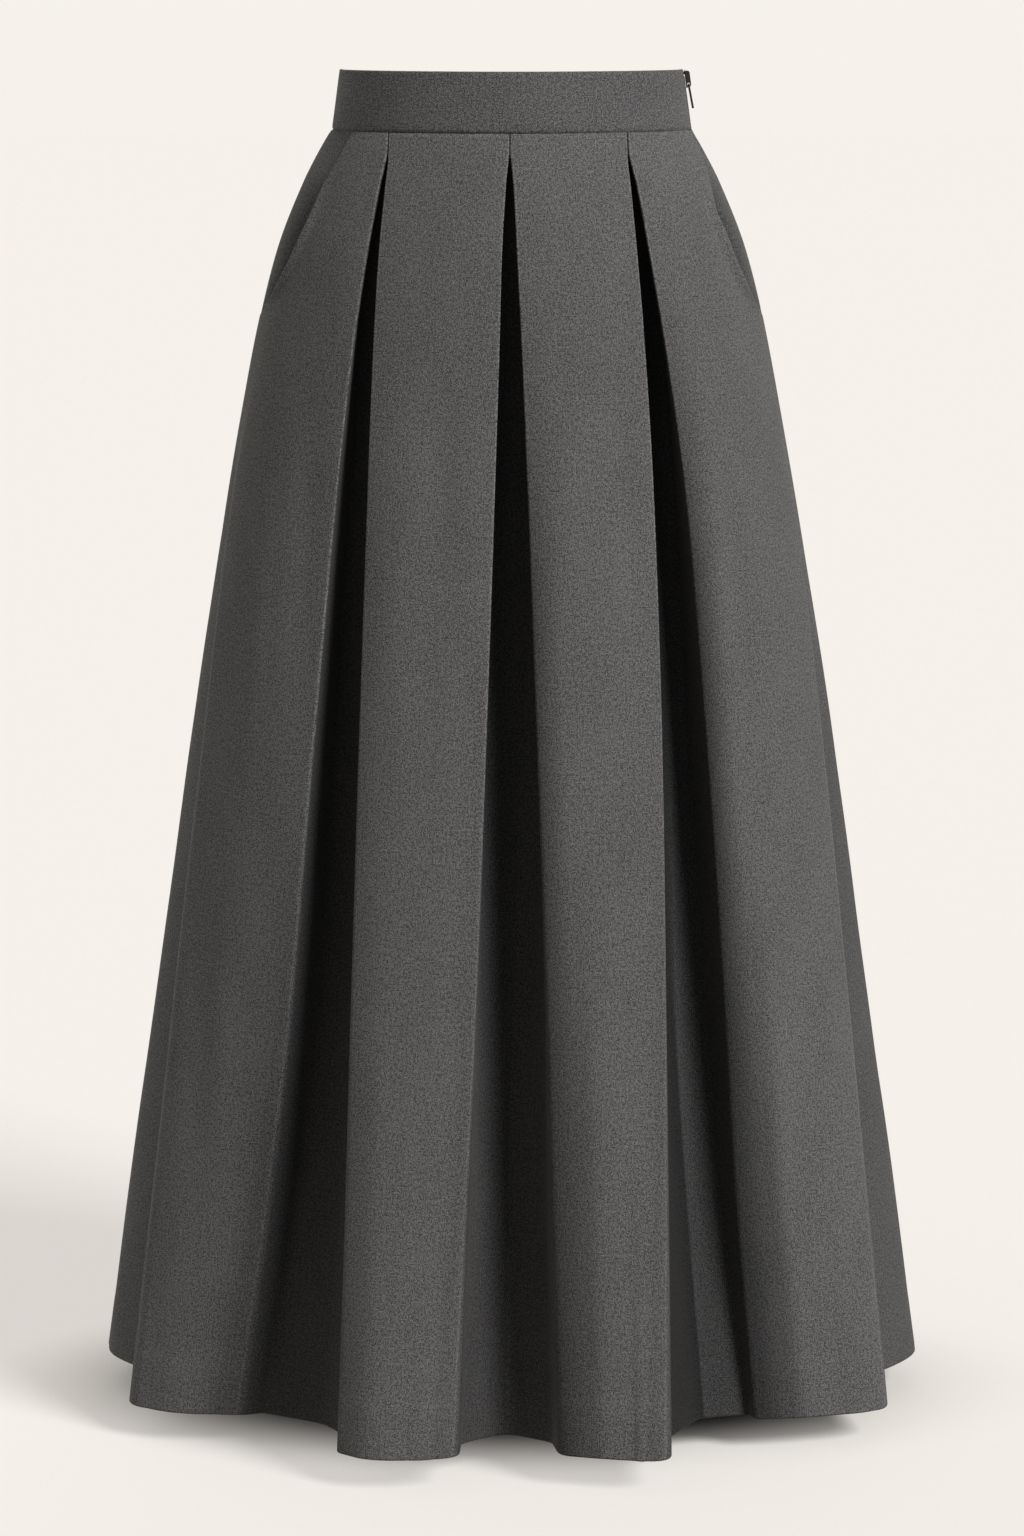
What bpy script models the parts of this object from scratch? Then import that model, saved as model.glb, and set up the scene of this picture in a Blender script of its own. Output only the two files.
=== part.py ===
# Box pleated maxi skirt: a hollow garment held up at its waistband.
# Metres, +Z up, -Y is the wearer's front and +X the wearer's left.
# The origin is the centre of the waistband, half way up it.
#
# Each section is worked out on the body's oval at that height, in two coordinates: the girth
# position, measured round the oval from the centre of the panel, and the depth inside the oval.
# A pleat is the same nine corners at every height. They lie flat on each other at the waist and
# open into a soft trough at the hem, where the panel beside it rolls away over a wide shoulder.

import math

import bmesh
import bpy
import numpy as np
from mathutils import Matrix, Vector

MODEL_NAME = "box_pleated_maxi_skirt"

# Heights
BAND_WIDTH = 0.043
BAND_TOP = BAND_WIDTH / 2
WAIST_SEAM = -BAND_WIDTH / 2
HEM = -0.9435
PLEAT_OPENS = -0.034

# Cloth
CLOTH = 0.0012
BAND_CLOTH = 0.0018
LAYER_GAP = 0.0007
SEAM_GAP = 0.0003
LAYER_STEP = CLOTH + LAYER_GAP

# The waist edge lies a little lower at the centres than at the sides
FRONT_DIP = 0.0018
BACK_DIP = 0.0030
DIP_ENDS = -0.12

# The body's oval: half width at the side, half depths at front and back
BAND_OUTLINE = (
    # z, side, front, back
    (BAND_TOP, 0.1248, 0.0950, 0.0950),
    (WAIST_SEAM, 0.1309, 0.0990, 0.0990),
)
SKIRT_OUTLINE = (
    # z, side, front, back
    (WAIST_SEAM, 0.1309, 0.0990, 0.0990),
    (-0.0340, 0.1385, 0.1035, 0.1040),
    (-0.0600, 0.1521, 0.1110, 0.1130),
    (-0.1100, 0.1720, 0.1235, 0.1275),
    (-0.1700, 0.1872, 0.1340, 0.1400),
    (-0.2800, 0.2080, 0.1528, 0.1555),
    (-0.4500, 0.2368, 0.1815, 0.1815),
    (-0.6500, 0.2660, 0.2150, 0.2140),
    (-0.8000, 0.2888, 0.2398, 0.2392),
    (HEM, 0.3092, 0.2620, 0.2620),
)
OUTLINE_COLUMNS = ("z", "side", "front", "back")

# Where the folded edges run, as x from the centre line, seen from outside the panel
EDGE_COLUMNS = (
    "z", "crease_left", "left_a", "left_b", "centre_a", "centre_b", "right_a", "right_b", "crease_right",
)
FRONT_EDGES = (
    (WAIST_SEAM, -0.1040, -0.0880, -0.0874, -0.0015, -0.0009, 0.0825, 0.0831, 0.1200),
    (PLEAT_OPENS, -0.1100, -0.0883, -0.0877, -0.0015, -0.0009, 0.0828, 0.0834, 0.1260),
    (-0.0600, -0.1240, -0.0935, -0.0905, -0.0035, 0.0010, 0.0855, 0.0890, 0.1340),
    (-0.1100, -0.1480, -0.1025, -0.0950, -0.0062, 0.0035, 0.0902, 0.0980, 0.1500),
    (-0.1700, -0.1760, -0.1115, -0.0985, -0.0078, 0.0065, 0.0952, 0.1085, 0.1770),
    (-0.2800, -0.2020, -0.1245, -0.1030, -0.0113, 0.0110, 0.1020, 0.1240, 0.2045),
    (-0.4500, -0.2240, -0.1405, -0.1092, -0.0170, 0.0172, 0.1080, 0.1388, 0.2270),
    (-0.6500, -0.2490, -0.1590, -0.1158, -0.0243, 0.0243, 0.1115, 0.1540, 0.2475),
    (-0.8000, -0.2670, -0.1770, -0.1205, -0.0312, 0.0285, 0.1130, 0.1640, 0.2620),
    (HEM, -0.2840, -0.1960, -0.1260, -0.0368, 0.0330, 0.1140, 0.1770, 0.2765),
)
BACK_EDGES = (
    (WAIST_SEAM, -0.1200, -0.0853, -0.0847, -0.0003, 0.0003, 0.0847, 0.0853, 0.1200),
    (PLEAT_OPENS, -0.1270, -0.0856, -0.0850, -0.0003, 0.0003, 0.0850, 0.0856, 0.1270),
    (-0.0600, -0.1390, -0.0890, -0.0868, -0.0020, 0.0018, 0.0880, 0.0905, 0.1390),
    (-0.1100, -0.1580, -0.0960, -0.0895, -0.0045, 0.0048, 0.0930, 0.1005, 0.1570),
    (-0.1700, -0.1770, -0.1040, -0.0925, -0.0070, 0.0075, 0.0975, 0.1100, 0.1760),
    (-0.2800, -0.2030, -0.1165, -0.0965, -0.0110, 0.0120, 0.1030, 0.1240, 0.2020),
    (-0.4500, -0.2260, -0.1330, -0.1015, -0.0175, 0.0180, 0.1080, 0.1420, 0.2250),
    (-0.6500, -0.2490, -0.1530, -0.1080, -0.0245, 0.0250, 0.1130, 0.1620, 0.2480),
    (-0.8000, -0.2660, -0.1690, -0.1130, -0.0300, 0.0305, 0.1165, 0.1760, 0.2650),
    (HEM, -0.2820, -0.1840, -0.1180, -0.0345, 0.0360, 0.1200, 0.1885, 0.2810),
)

# What the hem does at each folded edge: its depth inside the oval and how round it is
HEM_EDGE_COLUMNS = ("edge", "depth", "radius")
FRONT_HEM_EDGES = (
    ("crease_left", -0.021, 0.018),
    ("left_a", 0.028, 0.024),
    ("left_b", -0.017, 0.016),
    ("centre_a", 0.000, 0.013),
    ("centre_b", -0.007, 0.015),
    ("right_a", -0.023, 0.014),
    ("right_b", 0.012, 0.014),
    ("crease_right", -0.019, 0.018),
)
BACK_HEM_EDGES = (
    ("crease_left", -0.018, 0.020),
    ("left_a", 0.010, 0.018),
    ("left_b", -0.012, 0.015),
    ("centre_a", -0.002, 0.014),
    ("centre_b", -0.006, 0.014),
    ("right_a", -0.014, 0.015),
    ("right_b", 0.008, 0.018),
    ("crease_right", -0.018, 0.020),
)

# Under each pleat: how far the cloth returns at the waist, and where the two inner folds
# come to rest at the hem, as girth from their own edge and depth inside the oval
PLEAT_COLUMNS = ("pleat", "return_a", "return_b", "hem_girth_a", "hem_depth_a", "hem_girth_b", "hem_depth_b")
FRONT_PLEATS = (
    ("left", 0.016, 0.024, 0.021, 0.051, 0.008, 0.038),
    ("centre", 0.024, 0.024, 0.002, 0.051, -0.004, 0.053),
    ("right", 0.024, 0.024, 0.027, 0.055, 0.004, 0.051),
)
BACK_PLEATS = (
    ("left", 0.024, 0.024, 0.012, 0.052, 0.000, 0.048),
    ("centre", 0.024, 0.024, 0.000, 0.053, -0.004, 0.052),
    ("right", 0.024, 0.024, 0.010, 0.050, -0.002, 0.052),
)
HEM_RETURN = 0.045
HEM_BACKING = 0.075
INNER_RADIUS_AT_HEM = 0.016
PRESSED_RADIUS = 0.0008
PANEL_BULGE = 0.0010
SIDE_BULGE = 0.0035
SHOULDER_BACK_REACH = 0.6
PLEAT_SPREAD = 0.4
PLEAT_HOLLOW = 0.012
HOLLOW_POWER = 1.2
SETTLES_FROM = 0.45
FOLD_GROWTH = 1.3
EDGE_GROWTH = 1.8
CORNER_SHARE = 0.42

# The roll on each panel's left edge at the hem: how wide it is, how far the edge drops back and
# how far the rounding reaches over the panel
SHOULDER_COLUMNS = ("pleat", "width", "fall", "reach")
FRONT_SHOULDERS = (
    ("left", 0.030, 0.010, 0.040),
    ("centre", 0.034, 0.014, 0.040),
    ("right", 0.036, 0.020, 0.044),
)
BACK_SHOULDERS = (
    ("left", 0.016, 0.007, 0.026),
    ("centre", 0.018, 0.008, 0.030),
    ("right", 0.016, 0.009, 0.028),
)

# Between the outer creases and the side seams the cloth falls into a trough and a side flute
SIDE_COLUMNS = ("side", "trough_depth", "flute_depth")
FRONT_SIDES = (("left", 0.034, 0.002), ("right", 0.032, 0.000))
BACK_SIDES = (("left", 0.030, 0.000), ("right", 0.034, 0.001))
FLUTE_SHARE = 0.16
TROUGH_SHARE = 0.64
TROUGH_STARTS = 0.20
SIDE_RADIUS_AT_HEM = 0.020

# Slanted pocket mouths: how far the mouth's edge lies inside the side, as x
MOUTH_COLUMNS = ("z", "left", "right")
POCKET_MOUTH = (
    (WAIST_SEAM, 0.0170, 0.0015),
    (-0.0350, 0.0180, 0.0025),
    (-0.0600, 0.0165, 0.0080),
    (-0.0850, 0.0135, 0.0135),
    (-0.1100, 0.0100, 0.0120),
    (-0.1350, 0.0050, 0.0075),
    (-0.1550, 0.0000, 0.0000),
)
MOUTH_END = -0.1550
FACING_END = -0.1850
FACING_LAP = 0.012
FACING_LAP_AT_WAIST = 0.0035
FACING_LAP_GROWS_TO = -0.085
FACING_BEHIND_SIDE = 0.008
FACING_GAP = 0.0008

# Zip in the wearer's left side seam. The band parts for the chain; below it the back panel's
# edge closes over the facing, and the chain sinks behind both.
ZIP_END = MOUTH_END
ZIP_SLIT = 0.0043
ZIP_COLUMNS = ("z", "back_edge", "facing_edge", "chain_depth", "tape_depth")
ZIP_OPENING = (
    (BAND_TOP, ZIP_SLIT, -ZIP_SLIT, -0.00045, 0.0021),
    (0.0, ZIP_SLIT, -ZIP_SLIT, -0.00045, 0.0021),
    (WAIST_SEAM, ZIP_SLIT, -ZIP_SLIT, -0.00045, 0.0036),
    (-0.0340, 0.0032, -0.0034, 0.0006, 0.0042),
    (-0.0470, 0.00015, -0.0027, 0.0037, 0.0047),
    (-0.0600, 0.00015, 0.0080, 0.0037, 0.0047),
    (ZIP_END, 0.00015, 0.0080, 0.0037, 0.0047),
)
TAPE_TOP = BAND_TOP - 0.001
TAPE_WIDTH = 0.0070
TAPE_THICKNESS = 0.0005
CHAIN_HALF_WIDTH = 0.0022
CHAIN_TOP = 0.0160
CHAIN_END = 0.0008
CORD_THICKNESS = 0.00008
POST_CLEARANCE = 0.0013
PART_LINE = 0.00015

# Slider, in its own frame: u outward, v across (along Y) and w up the band
SLIDER_BOTTOM = 0.0077
SLIDER_LENGTH = 0.0130
SLIDER_TOP_WIDTH = 0.0080
SLIDER_FOOT_WIDTH = 0.0060
SLIDER_CORNER = 0.0014
PLATE_THICKNESS = 0.0007
PLATE_CLEARANCE = 0.0003
PLATE_BEVEL = 0.00012
POST_WIDTH = 0.0016
POST_LENGTH = 0.0022
POST_FROM_TOP = 0.0008
CROWN_WIDTH = 0.0016
CROWN_WALL = 0.0008
CROWN_START = 0.0006
CROWN_LENGTH = 0.0118
CROWN_ROUNDING = 0.0017
CROWN_BEVEL = 0.00022
PULL_HOLE = 0.0022

# Pull tab, hanging from its crossbar
PULL_LENGTH = 0.0175
PULL_THICKNESS = 0.0014
PULL_CORNER = 0.0006
PULL_NECK_WIDTH = 0.0044
PULL_FOOT_WIDTH = 0.0050
PULL_WINDOW_WIDTH = 0.0023
PULL_WINDOW_LENGTH = 0.0068
PULL_BAR = 0.0010
PULL_TILT_DEG = 11.0
PULL_BEVEL = 0.00020

# How finely each wall is cut into faces
SEAM_LEVELS = (
    WAIST_SEAM - SEAM_GAP, PLEAT_OPENS, -0.047, -0.060, -0.090, -0.120, -0.140, -0.150, MOUTH_END,
)
SKIRT_LEVELS = SEAM_LEVELS + (FACING_END, -0.245, -0.335, -0.450, -0.600, -0.770, HEM)
OVAL_POINTS = 1441
PAST_SIDE = math.radians(25)
BAND_STATIONS = 30
FACING_STATIONS = 9


def column(table, names, name):
    place = names.index(name)
    return [row[place] for row in table]


def row_named(table, names, name):
    for row in table:
        if row[0] == name:
            return dict(zip(names, row))
    raise KeyError(name)


def smooth(heights, values, z):
    # A monotone cubic through the rows, which run down from the waist
    down = [-h for h in heights]
    at = min(max(-z, down[0]), down[-1])
    last = len(down) - 2
    seg = min(max(int(np.searchsorted(down, at)) - 1, 0), last)
    steps = np.diff(down)
    rises = np.diff(values) / steps

    def slope(i):
        if i == 0:
            return rises[0]
        if i == last + 1:
            return rises[last]
        before = rises[i - 1]
        after = rises[i]
        if before * after <= 0:
            return 0.0
        return 2 * before * after / (before + after)

    u = (at - down[seg]) / steps[seg]
    start = values[seg]
    end = values[seg + 1]
    start_slope = slope(seg) * steps[seg]
    end_slope = slope(seg + 1) * steps[seg]
    return ((2 * u**3 - 3 * u**2 + 1) * start + (u**3 - 2 * u**2 + u) * start_slope
            + (3 * u**2 - 2 * u**3) * end + (u**3 - u**2) * end_slope)


def straight(table, names, name, z):
    heights = [-h for h in column(table, names, "z")]
    return float(np.interp(-z, heights, column(table, names, name)))


def read(table, names, name, z):
    return smooth(column(table, names, "z"), column(table, names, name), z)


def mix(a, b, share):
    return a + (b - a) * share


def ease(value, start, end):
    share = min(max((value - start) / (end - start), 0.0), 1.0)
    return share * share * (3 - 2 * share)


def drop(z):
    # 0 at the waist seam, 1 at the hem
    return min(max((WAIST_SEAM - z) / (WAIST_SEAM - HEM), 0.0), 1.0)


class Oval:
    # The body's outline at one height, seen from outside one half of the garment

    def __init__(self, outline, z, half):
        side = read(outline, OUTLINE_COLUMNS, "side", z)
        near = read(outline, OUTLINE_COLUMNS, half["near"], z)
        far = read(outline, OUTLINE_COLUMNS, half["far"], z)
        angle = np.linspace(-math.pi / 2 - PAST_SIDE, math.pi / 2 + PAST_SIDE, OVAL_POINTS)
        depth = np.where(np.abs(angle) <= math.pi / 2, near, far)
        self.x = side * np.sin(angle)
        self.out = depth * np.cos(angle)
        steps = np.hypot(np.diff(self.x), np.diff(self.out))
        girth = np.concatenate([[0.0], np.cumsum(steps)])
        self.girth = girth - girth[OVAL_POINTS // 2]
        normal_x = self.x / side**2
        normal_out = self.out / depth**2
        length = np.hypot(normal_x, normal_out)
        self.normal_x = normal_x / length
        self.normal_out = normal_out / length
        inside = np.abs(angle) <= math.pi / 2
        self.half_girth = float(self.girth[inside][-1])
        self.front_x = self.x[inside]
        self.front_girth = self.girth[inside]
        self.half_width = side

    def place(self, girth, depth):
        x = np.interp(girth, self.girth, self.x) - depth * np.interp(girth, self.girth, self.normal_x)
        out = np.interp(girth, self.girth, self.out) - depth * np.interp(girth, self.girth, self.normal_out)
        return float(x), float(out)

    def girth_at(self, x, depth=0.0):
        # The girth position whose point at that depth has this x
        on_oval = x
        girth = 0.0
        for _ in range(12):
            girth = float(np.interp(on_oval, self.front_x, self.front_girth))
            on_oval += x - self.place(girth, depth)[0]
        return girth


FRONT = {
    "near": "front", "far": "back", "turn": 1, "dip": FRONT_DIP, "edges": FRONT_EDGES,
    "hem_edges": FRONT_HEM_EDGES, "pleats": FRONT_PLEATS, "shoulders": FRONT_SHOULDERS,
    "sides": FRONT_SIDES, "pockets": True,
}
BACK = {
    "near": "back", "far": "front", "turn": -1, "dip": BACK_DIP, "edges": BACK_EDGES,
    "hem_edges": BACK_HEM_EDGES, "pleats": BACK_PLEATS, "shoulders": BACK_SHOULDERS,
    "sides": BACK_SIDES, "pockets": False,
}


def to_world(half, x, out, z):
    return Vector((half["turn"] * x, -half["turn"] * out, z))


def waist_dip(half, oval, girth, z):
    # How much lower than its level a point lies, most at the centre of the waist
    centre = math.cos(min(abs(girth) / oval.half_girth, 1.0) * math.pi / 2)
    return half["dip"] * centre * (1 - ease(-z, -WAIST_SEAM, -DIP_ENDS))


def mouth_girth(oval, z, side):
    # Girth position of the pocket mouth's edge on one side, as a positive number
    inset = read(POCKET_MOUTH, MOUTH_COLUMNS, side, z)
    return oval.girth_at(oval.half_width - inset)


def panel_end(half, oval, z, side):
    # Half girth of the panel's side edge: at the pocket mouth, at the zip's slit or at the seam
    if half["pockets"] and z > MOUTH_END:
        return mouth_girth(oval, z, side)
    if half is BACK and side == "left" and z > ZIP_END:
        return oval.half_girth - straight(ZIP_OPENING, ZIP_COLUMNS, "back_edge", z)
    return oval.half_girth - SEAM_GAP / 2


def edge_corner(half, oval, z, name, roll=0.0):
    # A folded edge, which the photograph gives as x, with its depth and roundness. The edge that
    # shows is the cloth's face, half its thickness outside the path; roll sets it further back.
    hem = row_named(half["hem_edges"], HEM_EDGE_COLUMNS, name)
    fall = drop(z)
    depth = hem["depth"] * fall**2 + roll
    x = read(half["edges"], EDGE_COLUMNS, name, z)
    if name.endswith("_a"):
        x -= CLOTH / 2
    elif name.endswith("_b"):
        x += CLOTH / 2
    radius = mix(PRESSED_RADIUS, hem["radius"], fall**EDGE_GROWTH)
    return oval.girth_at(x, depth), depth, radius


def pleat_corners(half, oval, z, pleat):
    # Two corners each at edge a, its inner fold, the other inner fold and edge b, then the shoulder
    row = row_named(half["pleats"], PLEAT_COLUMNS, pleat)
    shoulder = row_named(half["shoulders"], SHOULDER_COLUMNS, pleat)
    fall = drop(z)
    girth_a, depth_a, radius_a = edge_corner(half, oval, z, pleat + "_a")
    roll = shoulder["fall"] * fall**FOLD_GROWTH
    girth_b, depth_b, radius_b = edge_corner(half, oval, z, pleat + "_b", roll)
    return_a = mix(row["return_a"], HEM_RETURN, fall)
    return_b = mix(row["return_b"], HEM_RETURN, fall)
    mean_return = (return_a + return_b) / 2
    backing = mix(row["return_a"] + row["return_b"], HEM_BACKING, fall)
    tuck = min((backing - (girth_b - girth_a)) / 2 / mean_return, 1.0)
    swing = math.sqrt(1 - tuck * tuck)
    settled = ease(fall, SETTLES_FROM, 1.0)
    hollow = PLEAT_HOLLOW * math.sin(math.pi * fall) **HOLLOW_POWER
    inner_a = (
        mix(girth_a - return_a * tuck, girth_a + row["hem_girth_a"], settled),
        mix(depth_a + return_a * swing, row["hem_depth_a"], settled) + hollow,
    )
    inner_b = (
        mix(girth_b + return_b * tuck, girth_b + row["hem_girth_b"], settled),
        mix(depth_b - roll + return_b * swing, row["hem_depth_b"], settled) + hollow,
    )
    spread = PLEAT_SPREAD * fall
    layer = LAYER_STEP * (1 - fall)

    def toward(start, end, layers):
        return (mix(start[0], end[0], spread), mix(start[1], end[1], spread) + layers * layer)

    edge_a = (girth_a, depth_a)
    edge_b = (girth_b, depth_b)
    over = (girth_b + shoulder["width"], depth_b - roll)
    back_reach = SHOULDER_BACK_REACH * shoulder["width"]
    inner_radius = mix(PRESSED_RADIUS, INNER_RADIUS_AT_HEM, fall**FOLD_GROWTH)
    return [
        corner(edge_a, radius_a, arc=3, run=0),
        corner(toward(edge_a, inner_a, 1), radius_a, arc=2, run=1),
        corner(toward(inner_a, edge_a, 1), inner_radius, arc=2, run=0),
        corner(toward(inner_a, inner_b, 2), inner_radius, arc=2, run=2),
        corner(toward(inner_b, inner_a, 2), inner_radius, arc=2, run=0),
        corner(toward(inner_b, edge_b, 1), inner_radius, arc=2, run=1),
        corner(toward(edge_b, inner_b, 1), radius_b, arc=2, run=0),
        corner(edge_b, radius_b, arc=3, run=0),
        corner(over, back_reach, arc=3, run=2, bulge=PANEL_BULGE * fall, ahead=shoulder["reach"]),
    ]


def corner(point, radius, arc, run, bulge=0.0, ahead=None):
    # arc: points on the rounding, run: points on the stretch to the next corner, radius: how far
    # the rounding reaches back, and ahead where that differs
    reach = (radius, ahead or radius)
    return {"girth": point[0], "depth": point[1], "reach": reach, "arc": arc, "run": run, "bulge": bulge}


def side_corners(half, oval, z, side):
    # From the panel's side edge to its outer crease: side edge, flute, trough and crease
    sign = -1 if side == "left" else 1
    row = row_named(half["sides"], SIDE_COLUMNS, side)
    fall = drop(z)
    end = sign * panel_end(half, oval, z, side)
    crease, crease_depth, crease_radius = edge_corner(half, oval, z, "crease_" + side)
    sink = max((fall - TROUGH_STARTS) / (1 - TROUGH_STARTS), 0.0) ** FOLD_GROWTH
    radius = mix(PRESSED_RADIUS, SIDE_RADIUS_AT_HEM, fall)
    flute = (mix(end, crease, FLUTE_SHARE), row["flute_depth"] * sink)
    trough = (mix(end, crease, TROUGH_SHARE), row["trough_depth"] * sink)
    return [
        corner((end, 0.0), 0.0, arc=1, run=0),
        corner(flute, radius, arc=3, run=1),
        corner(trough, radius, arc=3, run=1),
        corner((crease, crease_depth), crease_radius, arc=3, run=3, bulge=SIDE_BULGE * fall),
    ]


def reverse_corners(corners):
    # The same stretch walked the other way: each run belongs to the corner it starts from
    runs = [(c["run"], c["bulge"]) for c in corners]
    turned = []
    for place in range(len(corners) - 1, -1, -1):
        before = runs[place - 1] if place > 0 else (0, 0.0)
        reach = corners[place]["reach"][::-1]
        turned.append(dict(corners[place], run=before[0], bulge=before[1], reach=reach))
    return turned


def section_corners(half, oval, z):
    corners = side_corners(half, oval, z, "left")
    for pleat in ("left", "centre", "right"):
        corners += pleat_corners(half, oval, z, pleat)
    return corners + reverse_corners(side_corners(half, oval, z, "right"))


def rounded_path(corners):
    # Points along the corners in girth and depth, with each corner rounded off
    spots = [np.array((c["girth"], c["depth"])) for c in corners]
    trims = []
    for i, c in enumerate(corners):
        if i in (0, len(corners) - 1):
            trims.append((0.0, 0.0))
            continue
        before = np.linalg.norm(spots[i] - spots[i - 1])
        after = np.linalg.norm(spots[i + 1] - spots[i])
        trims.append((min(c["reach"][0], CORNER_SHARE * before), min(c["reach"][1], CORNER_SHARE * after)))
    points = []
    for i, c in enumerate(corners):
        here = spots[i]
        if c["arc"] == 1:
            points.append(here)
        else:
            back = (spots[i - 1] - here) / np.linalg.norm(spots[i - 1] - here)
            ahead = (spots[i + 1] - here) / np.linalg.norm(spots[i + 1] - here)
            start = here + back * trims[i][0]
            end = here + ahead * trims[i][1]
            for u in np.linspace(0, 1, c["arc"]):
                points.append((1 - u)**2 * start + 2 * u * (1 - u) * here + u * u * end)
        if c["run"]:
            leave = points[-1]
            gap = np.linalg.norm(here - spots[i + 1])
            arrive = spots[i + 1] + (here - spots[i + 1]) * trims[i + 1][0] / gap
            for step in range(1, c["run"] + 1):
                u = step / (c["run"] + 1)
                swell = np.array((0.0, c["bulge"] * 4 * u * (1 - u)))
                points.append(mix(leave, arrive, u) - swell)
    return points


def offset_line(points, distance):
    # The same line moved to its right by a distance, with mitred corners
    line = np.array(points)
    steps = np.diff(line, axis=0)
    steps /= np.linalg.norm(steps, axis=1)[:, None]
    right = np.column_stack([steps[:, 1], -steps[:, 0]])
    joint = np.vstack([right[:1], right[:-1] + right[1:], right[-1:]])
    reach = (joint * np.vstack([right[:1], right])).sum(axis=1)
    return line + joint / reach[:, None] * distance


def wall_ring(half, oval, z, path, thickness):
    # Outer and inner points of the wall at one height; the path runs down its middle
    plan = [oval.place(girth, depth + thickness / 2) for girth, depth in path]
    heights = [z - waist_dip(half, oval, girth, z) for girth, depth in path]
    outer = offset_line([(x, -out) for x, out in plan], thickness / 2)
    inner = offset_line([(x, -out) for x, out in plan], -thickness / 2)
    ring_out = [to_world(half, x, -y, h) for (x, y), h in zip(outer, heights)]
    ring_in = [to_world(half, x, -y, h) for (x, y), h in zip(inner, heights)]
    return ring_out, ring_in


def wall_solid(name, rings):
    # A closed wall lofted through rings of outer and inner points, from the top down
    mesh = bmesh.new()
    outer = [[mesh.verts.new(p) for p in ring[0]] for ring in rings]
    inner = [[mesh.verts.new(p) for p in ring[1]] for ring in rings]
    last = len(rings) - 1
    end = len(outer[0]) - 1
    for j in range(last):
        for i in range(end):
            mesh.faces.new((outer[j][i], outer[j + 1][i], outer[j + 1][i + 1], outer[j][i + 1]))
            mesh.faces.new((inner[j][i], inner[j][i + 1], inner[j + 1][i + 1], inner[j + 1][i]))
        mesh.faces.new((outer[j][0], inner[j][0], inner[j + 1][0], outer[j + 1][0]))
        mesh.faces.new((outer[j][end], outer[j + 1][end], inner[j + 1][end], inner[j][end]))
    for i in range(end):
        mesh.faces.new((outer[0][i], outer[0][i + 1], inner[0][i + 1], inner[0][i]))
        mesh.faces.new((outer[last][i], inner[last][i], inner[last][i + 1], outer[last][i + 1]))
    return mesh_object(name, mesh)


def mesh_object(name, mesh):
    data = bpy.data.meshes.new(name)
    mesh.to_mesh(data)
    mesh.free()
    body = bpy.data.objects.new(name, data)
    bpy.context.scene.collection.objects.link(body)
    return body


def skirt_panel(name, half):
    rings = []
    for z in SKIRT_LEVELS:
        oval = Oval(SKIRT_OUTLINE, z, half)
        path = rounded_path(section_corners(half, oval, z))
        rings.append(wall_ring(half, oval, z, path, CLOTH))
    return wall_solid(name, rings)


def pocket_facing(name, side):
    # The side hip piece that shows in the pocket mouth, lapped under both panels
    sign = -1 if side == "left" else 1
    depth = CLOTH + FACING_GAP
    rings = []
    for z in SEAM_LEVELS + (FACING_END,):
        oval = Oval(SKIRT_OUTLINE, z, FRONT)
        lap = mix(FACING_LAP_AT_WAIST, FACING_LAP, ease(-z, -WAIST_SEAM, -FACING_LAP_GROWS_TO))
        near = oval.half_girth if z <= MOUTH_END else mouth_girth(oval, z, side)
        behind = FACING_BEHIND_SIDE
        if side == "right":
            behind = straight(ZIP_OPENING, ZIP_COLUMNS, "facing_edge", z)
        ends = sorted((sign * (near - lap), sign * (oval.half_girth + behind)))
        path = [(girth, depth) for girth in np.linspace(ends[0], ends[1], FACING_STATIONS)]
        rings.append(wall_ring(FRONT, oval, z, path, CLOTH))
    return wall_solid(name, rings)


def waistband(name, half):
    # A straight band folded over at the top, open at the zip
    fold = BAND_CLOTH / 3
    levels = (
        (BAND_TOP, fold),
        (BAND_TOP - fold, 0.0),
        (0.0, 0.0),
        (WAIST_SEAM, 0.0),
    )
    rings = []
    for z, rounding in levels:
        oval = Oval(BAND_OUTLINE, z, half)
        zip_end = oval.half_girth - ZIP_SLIT
        seam_end = oval.half_girth - SEAM_GAP / 2
        left, right = (seam_end, zip_end) if half is FRONT else (zip_end, seam_end)
        path = [(girth, rounding) for girth in np.linspace(-left, right, BAND_STATIONS)]
        rings.append(wall_ring(half, oval, z, path, BAND_CLOTH - 2 * rounding))
    return wall_solid(name, rings)


def zip_half(name, sign):
    # One tape with its half of the closed chain standing through the slit of the band
    above_chain = CHAIN_TOP + CHAIN_END
    levels = (TAPE_TOP, above_chain, CHAIN_TOP, 0.0) + SEAM_LEVELS
    rings = []
    for z in levels:
        oval = Oval(BAND_OUTLINE if z >= WAIST_SEAM else SKIRT_OUTLINE, z, FRONT)
        chain = straight(ZIP_OPENING, ZIP_COLUMNS, "chain_depth", z)
        tape = straight(ZIP_OPENING, ZIP_COLUMNS, "tape_depth", z)
        parting = PART_LINE
        if z >= above_chain:
            chain = tape - CORD_THICKNESS
            parting = POST_CLEARANCE
        inside = tape + TAPE_THICKNESS
        section = (
            (TAPE_WIDTH, inside), (TAPE_WIDTH, tape), (CHAIN_HALF_WIDTH, tape),
            (CHAIN_HALF_WIDTH, chain), (parting, chain), (parting, inside),
        )
        ring = []
        for across, depth in section:
            x, out = oval.place(oval.half_girth - sign * across, depth)
            ring.append(to_world(FRONT, x, out, z))
        rings.append(ring if sign > 0 else ring[::-1])
    return prism_solid(name, rings)


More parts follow.
